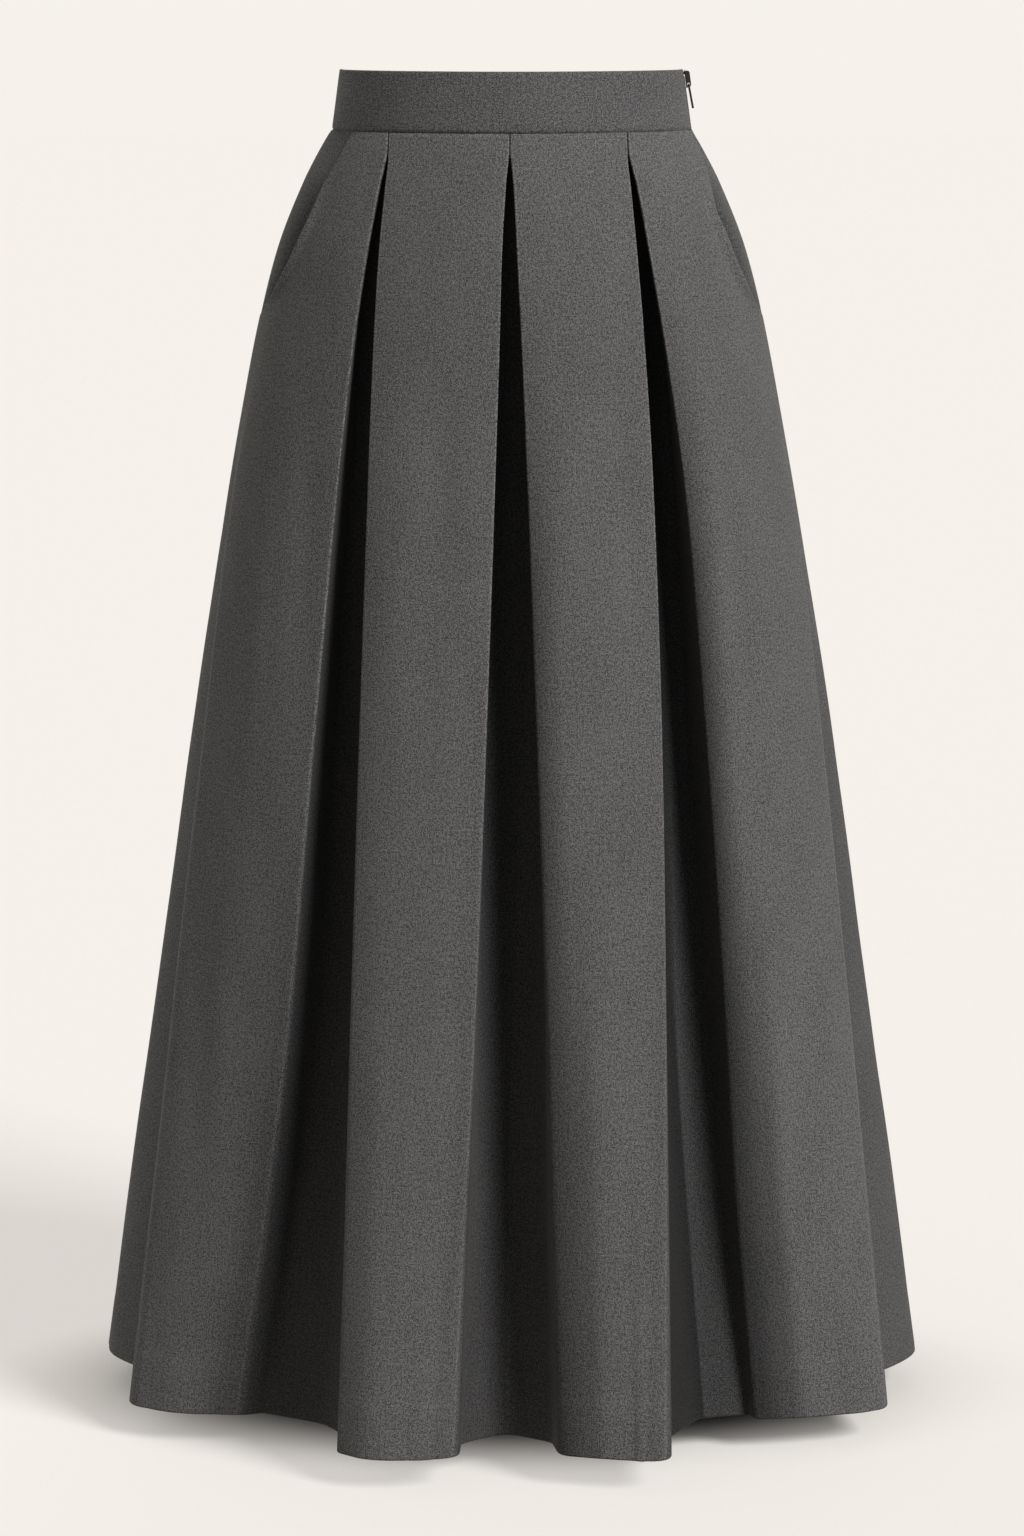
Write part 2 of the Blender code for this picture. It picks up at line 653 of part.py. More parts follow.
def prism_solid(name, rings):
    # A closed solid lofted through closed rings, from the top down
    mesh = bmesh.new()
    verts = [[mesh.verts.new(p) for p in ring] for ring in rings]
    count = len(rings[0])
    for upper, lower in zip(verts, verts[1:]):
        for i in range(count):
            ahead = (i + 1) % count
            mesh.faces.new((upper[i], lower[i], lower[ahead], upper[ahead]))
    mesh.faces.new(verts[0])
    mesh.faces.new(verts[-1][::-1])
    bmesh.ops.recalc_face_normals(mesh, faces=mesh.faces)
    return mesh_object(name, mesh)


def chain_face():
    # How far the closed chain stands out of the band
    return -straight(ZIP_OPENING, ZIP_COLUMNS, "chain_depth", SLIDER_BOTTOM)


def slider_frame():
    # u outward, v along Y and w up the band, from the slider's foot on the band's face
    lean = Vector((BAND_OUTLINE[0][1] - BAND_OUTLINE[1][1], 0.0, BAND_WIDTH)).normalized()
    across = Vector((0.0, 1.0, 0.0))
    outward = across.cross(lean)
    foot_x = mix(BAND_OUTLINE[1][1], BAND_OUTLINE[0][1], (SLIDER_BOTTOM - WAIST_SEAM) / BAND_WIDTH)
    frame = Matrix((outward, across, lean)).transposed().to_4x4()
    frame.translation = Vector((foot_x, 0.0, SLIDER_BOTTOM))
    return frame


def flat_plate(name, outline, low, high, holes=()):
    # A flat outline in v and w, drawn as a filled 2D curve and extruded between two heights of u
    curve = bpy.data.curves.new(name, "CURVE")
    curve.dimensions = "2D"
    curve.fill_mode = "BOTH"
    curve.extrude = (high - low) / 2
    for loop in (outline,) + tuple(holes):
        spline = curve.splines.new("POLY")
        spline.points.add(len(loop) - 1)
        for point, (v, w) in zip(spline.points, loop):
            point.co = (v, w, 0.0, 1.0)
        spline.use_cyclic_u = True
    lying = bpy.data.objects.new(name + "_outline", curve)
    bpy.context.scene.collection.objects.link(lying)
    bpy.context.view_layer.update()
    data = bpy.data.meshes.new_from_object(lying.evaluated_get(bpy.context.evaluated_depsgraph_get()))
    bpy.data.objects.remove(lying)
    mesh = bmesh.new()
    mesh.from_mesh(data)
    bpy.data.meshes.remove(data)
    bmesh.ops.remove_doubles(mesh, verts=mesh.verts, dist=1e-6)
    stand = Matrix(((0, 0, 1), (1, 0, 0), (0, 1, 0))).to_4x4()
    bmesh.ops.transform(mesh, matrix=Matrix.Translation(((low + high) / 2, 0, 0)) @ stand, verts=mesh.verts)
    bmesh.ops.recalc_face_normals(mesh, faces=mesh.faces)
    return mesh_object(name, mesh)


def rounded_outline(half_top, half_foot, low, high, radius, steps=3):
    # A tapered tab outline in v and w with round corners, walked anticlockwise
    centres = (
        (-half_foot + radius, low + radius, 180), (half_foot - radius, low + radius, 270),
        (half_top - radius, high - radius, 0), (-half_top + radius, high - radius, 90),
    )
    points = []
    for v, w, start in centres:
        for step in range(steps + 1):
            angle = math.radians(start + 90 * step / steps)
            points.append((v + radius * math.cos(angle), w + radius * math.sin(angle)))
    return points


def box_between(name, low, high):
    mesh = bmesh.new()
    bmesh.ops.create_cube(mesh, size=1.0)
    size = [b - a for a, b in zip(low, high)]
    middle = [(a + b) / 2 for a, b in zip(low, high)]
    bmesh.ops.scale(mesh, vec=size, verts=mesh.verts)
    bmesh.ops.translate(mesh, vec=middle, verts=mesh.verts)
    return mesh_object(name, mesh)


def join_solids(name, pieces):
    # One closed body from overlapping pieces
    whole = pieces[0]
    for piece in pieces[1:]:
        union = whole.modifiers.new("union", "BOOLEAN")
        union.operation = "UNION"
        union.solver = "EXACT"
        union.object = piece
        bpy.context.view_layer.update()
        evaluated = whole.evaluated_get(bpy.context.evaluated_depsgraph_get())
        data = bpy.data.meshes.new_from_object(evaluated)
        whole.modifiers.remove(union)
        whole.data = data
        bpy.data.objects.remove(piece)
    whole.name = name
    whole.data.name = name
    return whole


def eased(body, width):
    # The same body with its sharp edges bevelled
    bevel = body.modifiers.new("eased edges", "BEVEL")
    bevel.width = width
    bevel.segments = 1
    bevel.limit_method = "ANGLE"
    bevel.angle_limit = math.radians(50)
    bpy.context.view_layer.update()
    data = bpy.data.meshes.new_from_object(body.evaluated_get(bpy.context.evaluated_depsgraph_get()))
    body.modifiers.remove(bevel)
    body.data = data
    return body


def arc_points(centre, radius, start, end, steps):
    angles = np.radians(np.linspace(start, end, steps + 1))
    return [(centre[0] + radius * math.cos(a), centre[1] + radius * math.sin(a)) for a in angles]


def crown_outlines(plate_face):
    # The crown over the front plate, and the hole through it for the pull's crossbar, in w and u
    low = plate_face - PLATE_THICKNESS / 2
    top = plate_face + PULL_HOLE + CROWN_WALL
    start = CROWN_START
    end = CROWN_START + CROWN_LENGTH
    round_off = CROWN_ROUNDING
    outer = [(start, low), (end, low)]
    outer += arc_points((end - round_off, top - round_off), round_off, 0, 90, 4)
    outer += arc_points((start + round_off, top - round_off), round_off, 90, 180, 4)
    hole_centre = (start + CROWN_WALL + PULL_HOLE / 2, plate_face + PULL_HOLE / 2)
    hole = arc_points(hole_centre, PULL_HOLE / 2, 360, 0, 12)[:-1]
    return outer, hole


def zip_slider():
    front_low = chain_face() + PLATE_CLEARANCE
    front_high = front_low + PLATE_THICKNESS
    tape = straight(ZIP_OPENING, ZIP_COLUMNS, "tape_depth", SLIDER_BOTTOM)
    back_high = -(tape + TAPE_THICKNESS + PLATE_CLEARANCE)
    back_low = back_high - PLATE_THICKNESS
    half_top = SLIDER_TOP_WIDTH / 2
    half_foot = SLIDER_FOOT_WIDTH / 2
    outline = rounded_outline(half_top, half_foot, 0.0, SLIDER_LENGTH, SLIDER_CORNER)
    front = eased(flat_plate("zip_slider", outline, front_low, front_high), PLATE_BEVEL)
    back = eased(flat_plate("slider_back", outline, back_low, back_high), PLATE_BEVEL)
    post_top = SLIDER_LENGTH - POST_FROM_TOP
    overlap = PLATE_THICKNESS / 2
    post = box_between(
        "slider_post",
        (back_high - overlap, -POST_WIDTH / 2, post_top - POST_LENGTH),
        (front_low + overlap, POST_WIDTH / 2, post_top),
    )
    outer, hole = crown_outlines(front_high)
    crown = flat_plate("slider_crown", outer, -CROWN_WIDTH / 2, CROWN_WIDTH / 2, holes=[hole])
    turn = Matrix(((0, 0, 1), (1, 0, 0), (0, 1, 0))).to_4x4()
    crown.data.transform(turn)
    slider = join_solids("zip_slider", [front, back, post, eased(crown, CROWN_BEVEL)])
    slider.matrix_world = slider_frame()
    return slider


def pull_hinge():
    # Centre of the pull's crossbar, in the hole at the foot of the crown
    plate_face = chain_face() + PLATE_CLEARANCE + PLATE_THICKNESS
    return Vector((plate_face + PULL_HOLE / 2, 0.0, CROWN_START + CROWN_WALL + PULL_HOLE / 2))


def zip_pull():
    # A flat tab with a window that the crown passes through
    top = PULL_BAR / 2
    low = -PULL_LENGTH
    outline = rounded_outline(PULL_NECK_WIDTH / 2, PULL_FOOT_WIDTH / 2, low, top, PULL_CORNER)
    half = PULL_WINDOW_WIDTH / 2
    foot = -top - PULL_WINDOW_LENGTH
    window = [(-half, foot), (half, foot), (half, -top), (-half, -top)]
    pull = flat_plate("zip_pull", outline, -PULL_THICKNESS / 2, PULL_THICKNESS / 2, holes=[window])
    hinge = slider_frame() @ pull_hinge()
    eased(pull, PULL_BEVEL)
    pull.matrix_world = Matrix.Translation(hinge) @ Matrix.Rotation(-math.radians(PULL_TILT_DEG), 4, "Y")
    return pull


def finish(name, colour, roughness, metallic):
    material = bpy.data.materials.new(name)
    material.use_nodes = True
    shader = material.node_tree.nodes["Principled BSDF"]
    shader.inputs["Base Color"].default_value = (*colour, 1.0)
    shader.inputs["Roughness"].default_value = roughness
    shader.inputs["Metallic"].default_value = metallic
    return material


# Linear colours: charcoal suiting, black tape and dark metal
FINISHES = {
    "waistband_front": ((0.078, 0.077, 0.079), 0.88, 0.0),
    "waistband_back": ((0.078, 0.077, 0.079), 0.88, 0.0),
    "skirt_front": ((0.073, 0.072, 0.074), 0.88, 0.0),
    "skirt_back": ((0.073, 0.072, 0.074), 0.88, 0.0),
    "pocket_facing_right": ((0.066, 0.065, 0.067), 0.88, 0.0),
    "pocket_facing_left": ((0.066, 0.065, 0.067), 0.88, 0.0),
    "zip_tape_front": ((0.010, 0.010, 0.011), 0.75, 0.0),
    "zip_tape_back": ((0.010, 0.010, 0.011), 0.75, 0.0),
    "zip_slider": ((0.035, 0.034, 0.034), 0.38, 0.9),
    "zip_pull": ((0.045, 0.044, 0.044), 0.34, 0.9),
}


def clear_scene():
    for leftover in list(bpy.data.objects):
        bpy.data.objects.remove(leftover)


def collect(parts):
    collection = bpy.data.collections.new(MODEL_NAME)
    bpy.context.scene.collection.children.link(collection)
    for part in parts:
        for owner in list(part.users_collection):
            owner.objects.unlink(part)
        collection.objects.link(part)
        colour, roughness, metallic = FINISHES[part.name]
        part.data.materials.clear()
        part.data.materials.append(finish(part.name + "_finish", colour, roughness, metallic))


def main():
    clear_scene()
    parts = [
        waistband("waistband_front", FRONT),
        waistband("waistband_back", BACK),
        skirt_panel("skirt_front", FRONT),
        skirt_panel("skirt_back", BACK),
        pocket_facing("pocket_facing_right", "left"),
        pocket_facing("pocket_facing_left", "right"),
        zip_half("zip_tape_front", 1),
        zip_half("zip_tape_back", -1),
        zip_slider(),
        zip_pull(),
    ]
    collect(parts)


main()
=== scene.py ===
import math

import bmesh
import bpy
import numpy as np
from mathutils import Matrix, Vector, noise


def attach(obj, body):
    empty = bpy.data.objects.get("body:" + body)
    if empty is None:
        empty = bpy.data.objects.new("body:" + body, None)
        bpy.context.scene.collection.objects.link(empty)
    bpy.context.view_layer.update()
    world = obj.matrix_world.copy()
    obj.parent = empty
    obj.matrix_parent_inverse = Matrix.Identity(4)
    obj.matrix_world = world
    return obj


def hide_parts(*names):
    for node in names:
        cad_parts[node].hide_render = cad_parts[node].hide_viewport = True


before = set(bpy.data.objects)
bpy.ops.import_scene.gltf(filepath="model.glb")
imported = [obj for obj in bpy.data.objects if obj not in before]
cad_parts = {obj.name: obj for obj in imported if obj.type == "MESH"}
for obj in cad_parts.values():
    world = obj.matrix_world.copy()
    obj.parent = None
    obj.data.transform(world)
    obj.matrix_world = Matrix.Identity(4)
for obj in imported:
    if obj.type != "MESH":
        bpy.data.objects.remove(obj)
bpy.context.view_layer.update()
print("frame loaded:", sorted(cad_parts))


def addObject(name, data):
    made = bpy.data.objects.new(name, data)
    bpy.context.scene.collection.objects.link(made)
    return made


# the camera stands level with the top of the waistband, looking a little down
cameraSettings = {
    "side": 0.0004,
    "distance": 3.0,
    "height": 0.0215,
    "pitchDegrees": 9.759,
    "lens": 95.25,
}


def makeCamera(s):
    data = bpy.data.cameras.new("camera")
    data.lens = s["lens"]
    data.clip_end = 200
    camera = addObject("camera", data)
    camera.location = (s["side"], -s["distance"], s["height"])
    camera.rotation_euler = (math.radians(90 - s["pitchDegrees"]), 0, 0)
    bpy.context.scene.camera = camera


makeCamera(cameraSettings)


# the body's oval and the folded edges, one row for each height, from the waist down
garment = {
    "bandTop": 0.0215,
    "waistSeam": -0.0215,
    "hem": -0.9435,
    "seamGap": 0.0003,
    "clothThickness": 0.0012,
    "layerStep": 0.0019,  # from one layer to the next in a pressed pleat
    "turnIns": (0.0018, 0.0008),  # how far the cloth's first two rows go in under the band
    "frontDip": 0.0018,
    "backDip": 0.0030,
    "dipEnds": -0.12,
}
bandOutline = [
    # z, side, front, back
    (0.0215, 0.1248, 0.0950, 0.0950),
    (-0.0215, 0.1309, 0.0990, 0.0990),
]
skirtOutline = [
    (-0.0215, 0.1309, 0.0990, 0.0990),
    (-0.0340, 0.1385, 0.1035, 0.1040),
    (-0.0600, 0.1521, 0.1110, 0.1130),
    (-0.1100, 0.1720, 0.1235, 0.1275),
    (-0.1700, 0.1872, 0.1340, 0.1400),
    (-0.2800, 0.2080, 0.1528, 0.1555),
    (-0.4500, 0.2368, 0.1815, 0.1815),
    (-0.6500, 0.2660, 0.2150, 0.2140),
    (-0.8000, 0.2888, 0.2398, 0.2392),
    (-0.9435, 0.3092, 0.2620, 0.2620),
]
outlineNames = ["z", "side", "front", "back"]
ovalSettings = {"pastTheSide": 25, "points": 2401, "passes": 12}  # degrees, and two counts
edgeNames = [
    "z", "creaseLeft", "leftA", "leftB", "centreA", "centreB", "rightA", "rightB", "creaseRight",
]


def readRow(table, names, name, z):
    # monotone cubic through one column, so that the silhouette has no wobble between rows
    down = [-row[0] for row in table]
    values = [row[names.index(name)] for row in table]
    at = min(max(-z, down[0]), down[-1])
    last = len(down) - 2
    seg = min(max(int(np.searchsorted(down, at)) - 1, 0), last)
    steps = np.diff(down)
    rises = np.diff(values) / steps

    def slope(i):
        if i == 0 or i == last + 1:
            return rises[min(i, last)]
        if rises[i - 1] * rises[i] <= 0:
            return 0.0
        return 2 * rises[i - 1] * rises[i] / (rises[i - 1] + rises[i])

    u = (at - down[seg]) / steps[seg]
    startSlope = slope(seg) * steps[seg]
    endSlope = slope(seg + 1) * steps[seg]
    return ((2 * u**3 - 3 * u**2 + 1) * values[seg] + (u**3 - 2 * u**2 + u) * startSlope
            + (3 * u**2 - 2 * u**3) * values[seg + 1] + (u**3 - u**2) * endSlope)


def mix(a, b, share):
    return a + (b - a) * share


def ease(value, start, end):
    share = np.clip((value - start) / (end - start), 0.0, 1.0)
    return share * share * (3 - 2 * share)


def fallAt(z):
    # 0 at the waist seam, 1 at the hem
    return min(max((garment["waistSeam"] - z) / (garment["waistSeam"] - garment["hem"]), 0.0), 1.0)


def ovalAt(outline, z, half):
    side = readRow(outline, outlineNames, "side", z)
    near = readRow(outline, outlineNames, half["near"], z)
    far = readRow(outline, outlineNames, half["far"], z)
    reach = math.radians(90 + ovalSettings["pastTheSide"])
    angle = np.linspace(-reach, reach, ovalSettings["points"])
    depth = np.where(np.abs(angle) <= math.pi / 2, near, far)
    x = side * np.sin(angle)
    out = depth * np.cos(angle)
    girth = np.concatenate([[0.0], np.cumsum(np.hypot(np.diff(x), np.diff(out)))])
    girth -= girth[len(girth) // 2]
    normalX = x / side**2
    normalOut = out / depth**2
    length = np.hypot(normalX, normalOut)
    inside = np.abs(angle) <= math.pi / 2
    return {
        "x": x, "out": out, "girth": girth,
        "normalX": normalX / length, "normalOut": normalOut / length,
        "halfGirth": float(girth[inside][-1]), "halfWidth": side,
        "frontX": x[inside], "frontGirth": girth[inside],
    }


def placeOnOval(oval, girth, depth):
    def read(name):
        return np.interp(girth, oval["girth"], oval[name])

    return read("x") - depth * read("normalX"), read("out") - depth * read("normalOut")


def girthAt(oval, x, depth=0.0):
    onOval = x
    girth = 0.0
    for _ in range(ovalSettings["passes"]):
        girth = float(np.interp(onOval, oval["frontX"], oval["frontGirth"]))
        onOval += x - float(placeOnOval(oval, girth, depth)[0])
    return girth


def waistDip(half, oval, girth, z):
    centre = np.cos(np.minimum(np.abs(girth) / oval["halfGirth"], 1.0) * math.pi / 2)
    return half["dip"] * centre * (1 - ease(-z, -garment["waistSeam"], -garment["dipEnds"]))


# each half of the skirt: where its folded edges run, how the hem lies and how the pleats open
frontHalf = {
    "name": "front", "near": "front", "far": "back", "turn": 1, "dip": garment["frontDip"],
    "edges": [
        (-0.0215, -0.1040, -0.0880, -0.0874, -0.0015, -0.0009, 0.0825, 0.0831, 0.1200),
        (-0.0340, -0.1100, -0.0883, -0.0877, -0.0015, -0.0009, 0.0828, 0.0834, 0.1260),
        (-0.0600, -0.1240, -0.0935, -0.0905, -0.0035, 0.0010, 0.0855, 0.0890, 0.1340),
        (-0.1100, -0.1480, -0.1025, -0.0950, -0.0062, 0.0035, 0.0902, 0.0980, 0.1500),
        (-0.1700, -0.1760, -0.1115, -0.0985, -0.0078, 0.0065, 0.0952, 0.1085, 0.1770),
        (-0.2800, -0.2020, -0.1245, -0.1030, -0.0113, 0.0110, 0.1020, 0.1240, 0.2045),
        (-0.4500, -0.2240, -0.1405, -0.1092, -0.0170, 0.0172, 0.1080, 0.1388, 0.2270),
        (-0.6500, -0.2490, -0.1590, -0.1158, -0.0243, 0.0243, 0.1115, 0.1540, 0.2475),
        (-0.8000, -0.2670, -0.1770, -0.1205, -0.0312, 0.0285, 0.1130, 0.1640, 0.2620),
        (-0.9435, -0.2840, -0.1960, -0.1260, -0.0368, 0.0330, 0.1140, 0.1770, 0.2765),
    ],
    "hemEdges": {  # depth inside the oval and roundness, at the hem
        "creaseLeft": (-0.021, 0.018), "leftA": (0.028, 0.020), "leftB": (-0.017, 0.006),
        "centreA": (0.000, 0.018), "centreB": (-0.007, 0.008), "rightA": (-0.023, 0.018),
        "rightB": (0.012, 0.008), "creaseRight": (-0.019, 0.012),
    },
    "pleats": {  # returns at the waist, then girth and depth of the inner folds at the hem
        "left": (0.016, 0.024, 0.017, 0.051, 0.008, 0.038),
        "centre": (0.024, 0.024, -0.003, 0.051, -0.004, 0.053),
        "right": (0.024, 0.024, 0.022, 0.055, 0.004, 0.051),
    },
    "shoulders": {  # width, drop and reach of the roll on the left edge of the next panel
        "left": (0.030, 0.010, 0.040), "centre": (0.034, 0.014, 0.040), "right": (0.036, 0.020, 0.044),
    },
    # painted shade, how far the cloth's colour is darkened: on the panel before the pleat, just inside,
    # at both inner folds, after
    "shades": {
        "left": (0.34, 0.66, 0.64, 0.60, 0.22),
        "centre": (0.22, 0.76, 0.60, 0.50, 0.58),
        "right": (0.20, 0.62, 0.88, 0.62, 0.72),
    },
    # per side: trough depth and flute depth at the hem, and the painted shade between the side seam and
    # the crease
    "sides": {"Left": (0.034, 0.002, 0.0), "Right": (0.032, 0.000, 0.26)},
    "pockets": True,
}
backHalf = {
    "name": "back", "near": "back", "far": "front", "turn": -1, "dip": garment["backDip"],
    "edges": [
        (-0.0215, -0.1200, -0.0853, -0.0847, -0.0003, 0.0003, 0.0847, 0.0853, 0.1200),
        (-0.0340, -0.1270, -0.0856, -0.0850, -0.0003, 0.0003, 0.0850, 0.0856, 0.1270),
        (-0.0600, -0.1390, -0.0890, -0.0868, -0.0020, 0.0018, 0.0880, 0.0905, 0.1390),
        (-0.1100, -0.1580, -0.0960, -0.0895, -0.0045, 0.0048, 0.0930, 0.1005, 0.1570),
        (-0.1700, -0.1770, -0.1040, -0.0925, -0.0070, 0.0075, 0.0975, 0.1100, 0.1760),
        (-0.2800, -0.2030, -0.1165, -0.0965, -0.0110, 0.0120, 0.1030, 0.1240, 0.2020),
        (-0.4500, -0.2260, -0.1330, -0.1015, -0.0175, 0.0180, 0.1080, 0.1420, 0.2250),
        (-0.6500, -0.2490, -0.1530, -0.1080, -0.0245, 0.0250, 0.1130, 0.1620, 0.2480),
        (-0.8000, -0.2660, -0.1690, -0.1130, -0.0300, 0.0305, 0.1165, 0.1760, 0.2650),
        (-0.9435, -0.2820, -0.1840, -0.1180, -0.0345, 0.0360, 0.1200, 0.1885, 0.2810),
    ],
    "hemEdges": {
        "creaseLeft": (-0.018, 0.020), "leftA": (0.010, 0.018), "leftB": (-0.012, 0.015),
        "centreA": (-0.002, 0.014), "centreB": (-0.006, 0.014), "rightA": (-0.014, 0.015),
        "rightB": (0.008, 0.018), "creaseRight": (-0.018, 0.020),
    },
    "pleats": {
        "left": (0.024, 0.024, 0.012, 0.052, 0.000, 0.048),
        "centre": (0.024, 0.024, 0.000, 0.053, -0.004, 0.052),
        "right": (0.024, 0.024, 0.010, 0.050, -0.002, 0.052),
    },
    "shoulders": {
        "left": (0.016, 0.007, 0.026), "centre": (0.018, 0.008, 0.030), "right": (0.016, 0.009, 0.028),
    },
    # painted shade in the back pleats, as at the front
    "shades": {
        "left": (0.16, 0.55, 0.55, 0.55, 0.16),
        "centre": (0.16, 0.55, 0.55, 0.55, 0.16),
        "right": (0.16, 0.55, 0.55, 0.55, 0.16),
    },
    "sides": {"Left": (0.030, 0.000, 0.0), "Right": (0.034, 0.001, 0.0)},
    "pockets": False,
}
pleatNames = ("left", "centre", "right")
pleatSettings = {
    "returnAtHem": 0.045,
    "backingAtHem": 0.075,
    "pressedRadius": 0.0005,
    "edgeShift": (0.0005, 0.0010),  # from the edge that shows to the cloth's middle: waist, lower
    "shiftGrows": (0.034, 0.046),
    "edgeGrowth": 1.8,  # the higher, the nearer the hem an edge turns round
    "edgeGrowthA": 3,
    "foldGrowth": 1.3,
    "innerRadiusAtHem": 0.016,
    "hollow": 0.012,
    "hollowPower": 1.2,
    "spread": 0.4,  # how far the two corners of a fold move apart down to the hem
    "shoulderBack": 0.6,
    # share of the painted shade that reaches over the next panel's shoulder
    "shoulderShade": 0.60,
    "bulge": 0.0010,
    "sideBulge": 0.0035,
    "fluteShare": 0.16,
    "troughShare": 0.64,
    "troughStarts": 0.20,
    "sideRadiusAtHem": 0.020,
    "seamRoll": 0.0011,
}
# where each begins and is complete on the way down: 0 is the waist seam, 1 is the hem
fallSettings = {
    "foldsSettle": (0.45, 1.0),
    "edgeSoftens": (0.15, 0.40),
    "creaseSharpens": (0.30, 0.42),
    # the painted shade before, after and over each pleat, and by the side crease
    "shadeBefore": (0.30, 0.80),
    "shadeAfter": (0.05, 0.40),
    "shadeShoulder": (0.45, 0.85),
    "shadeSide": (0.30, 0.50),
}
# points on a rounding, and on the stretch that follows one
pointCounts = {
    "end": 1, "fold": 5, "edge": 7, "shoulder": 9,
    "hipEdge": 6, "flute": 8, "sidePanel": 26, "return": 7, "backing": 11, "panel": 20,
}
pocketSettings = {
    # z, how far the mouth's edge lies inside the side on the left and right of the picture
    "mouth": [
        (-0.0215, 0.0170, 0.0015),
        (-0.0350, 0.0180, 0.0025),
        (-0.0600, 0.0170, 0.0085),
        (-0.0850, 0.0182, 0.0150),
        (-0.1100, 0.0160, 0.0142),
        (-0.1350, 0.0100, 0.0095),
        (-0.1550, 0.0000, 0.0000),
    ],
    "mouthNames": ["z", "Left", "Right"],
    "mouthEnd": -0.155,
    "opens": (-0.128, -0.098, -0.050),  # open in full between the first two, shut at the last
    "facingEnd": -0.185,
    "lapAtWaist": 0.0035,
    "lap": 0.012,
    "gap": 0.0008,
    "sink": 0.0070,
    "mouthLift": 0.0034,
    "pressed": 0.7,
    # painted shade on the facing beside the pocket mouth, darkest next to it
    "shade": 0.66,
}
zipSettings = {
    # z, back panel's edge, facing's edge, how deep the chain and the tape lie
    "opening": [
        (0.0215, 0.0043, -0.0043, -0.00045, 0.0021),
        (0.0000, 0.0043, -0.0043, -0.00045, 0.0021),
        (-0.0215, 0.0043, -0.0043, -0.00045, 0.0036),
        (-0.0340, 0.0032, -0.0034, 0.0006, 0.0042),
        (-0.0470, 0.00015, -0.0027, 0.0037, 0.0047),
        (-0.0600, 0.00015, 0.0080, 0.0037, 0.0047),
        (-0.1550, 0.00015, 0.0080, 0.0037, 0.0047),
    ],
    "names": ["z", "backEdge", "facingEdge", "chainDepth", "tapeDepth"],
    "slit": 0.0043,
    "tapeWidth": 0.0070,
    "tapeThickness": 0.0005,
    "chainHalfWidth": 0.0022,
    "chainTop": 0.0160,
    "chainEnd": -0.050,
    "tapeTop": 0.0203,
    "tapeEnd": -0.1545,
    "tapeRow": 0.004,
    "tapeStations": 9,
    "halfGap": 0.00035,
    "toothPitch": 0.0015,
    "toothLap": 0.00045,  # how far a tooth reaches past the middle of the chain
    "toothShare": 0.46,
    "toothBevel": 0.00022,
}

# soft troughs (depth above 0) and ridges (below 0) in the hanging cloth
frontFolds = [
    # x and z at the top, x and z at the foot, width, depth
    (-0.141, -0.19, -0.158, -0.47, 0.012, 0.0018),
    (-0.172, -0.22, -0.192, -0.52, 0.011, -0.0012),
    (-0.052, -0.16, -0.046, -0.42, 0.013, 0.0016),
    (-0.080, -0.22, -0.084, -0.60, 0.011, -0.0010),
    (0.074, -0.17, 0.092, -0.46, 0.012, 0.0019),
    (0.035, -0.14, 0.046, -0.50, 0.014, -0.0010),
    (0.150, -0.20, 0.186, -0.58, 0.011, 0.0020),
    (0.128, -0.16, 0.160, -0.44, 0.011, -0.0010),
    (-0.215, -0.50, -0.232, -0.84, 0.015, 0.0016),
    (-0.078, -0.58, -0.090, -0.90, 0.015, 0.0014),
    (0.062, -0.55, 0.070, -0.88, 0.016, -0.0012),
    (0.205, -0.60, 0.216, -0.90, 0.014, 0.0014),
]
backFolds = [
    (-0.135, -0.15, -0.158, -0.43, 0.013, 0.0018),
    (-0.047, -0.18, -0.052, -0.40, 0.012, 0.0015),
    (0.040, -0.13, 0.050, -0.48, 0.014, 0.0017),
    (0.076, -0.22, 0.088, -0.56, 0.010, -0.0012),
    (0.142, -0.18, 0.176, -0.50, 0.012, 0.0019),
    (-0.182, -0.30, -0.205, -0.68, 0.014, 0.0014),
    (-0.070, -0.60, -0.080, -0.90, 0.015, 0.0013),
    (0.215, -0.52, 0.236, -0.86, 0.015, 0.0016),
    (0.060, -0.66, 0.064, -0.91, 0.013, -0.0012),
]


def mouthGirth(oval, z, side):
    inset = readRow(pocketSettings["mouth"], pocketSettings["mouthNames"], side, z)
    return girthAt(oval, oval["halfWidth"] - inset)


def pocketOpens(z):
    # 1 where the pocket stands open most, 0 at both ends of its mouth
    lowest, highest, shut = pocketSettings["opens"]
    return ease(z, pocketSettings["mouthEnd"], lowest) * (1 - ease(z, highest, shut))


def fallEase(name, fall):
    return ease(fall, *fallSettings[name])


def zipRow(name, z):
    rows = zipSettings["opening"]
    place = zipSettings["names"].index(name)
    return float(np.interp(-z, [-row[0] for row in rows], [row[place] for row in rows]))


def panelEnd(half, oval, z, side):
    if half["pockets"] and z > pocketSettings["mouthEnd"]:
        return mouthGirth(oval, z, side)
    if not half["pockets"] and side == "Left" and z > pocketSettings["mouthEnd"]:
        return oval["halfGirth"] - zipRow("backEdge", z)
    return oval["halfGirth"] - garment["seamGap"] / 2


def corner(point, radius, arc, run=0, bulge=0.0, pressed=0.0, ahead=None, shade=0.0):
    # arc and run are numbers of points: on the rounding, and on the stretch to the next corner;
    # shade is how much painted shade darkens the cloth's colour there, or a pair for before and after
    # the corner
    shade = shade if isinstance(shade, tuple) else (shade, shade)
    return {"girth": point[0], "depth": point[1], "radius": (radius, ahead or radius), "arc": arc,
            "run": run, "bulge": bulge, "pressed": pressed, "shade": shade}


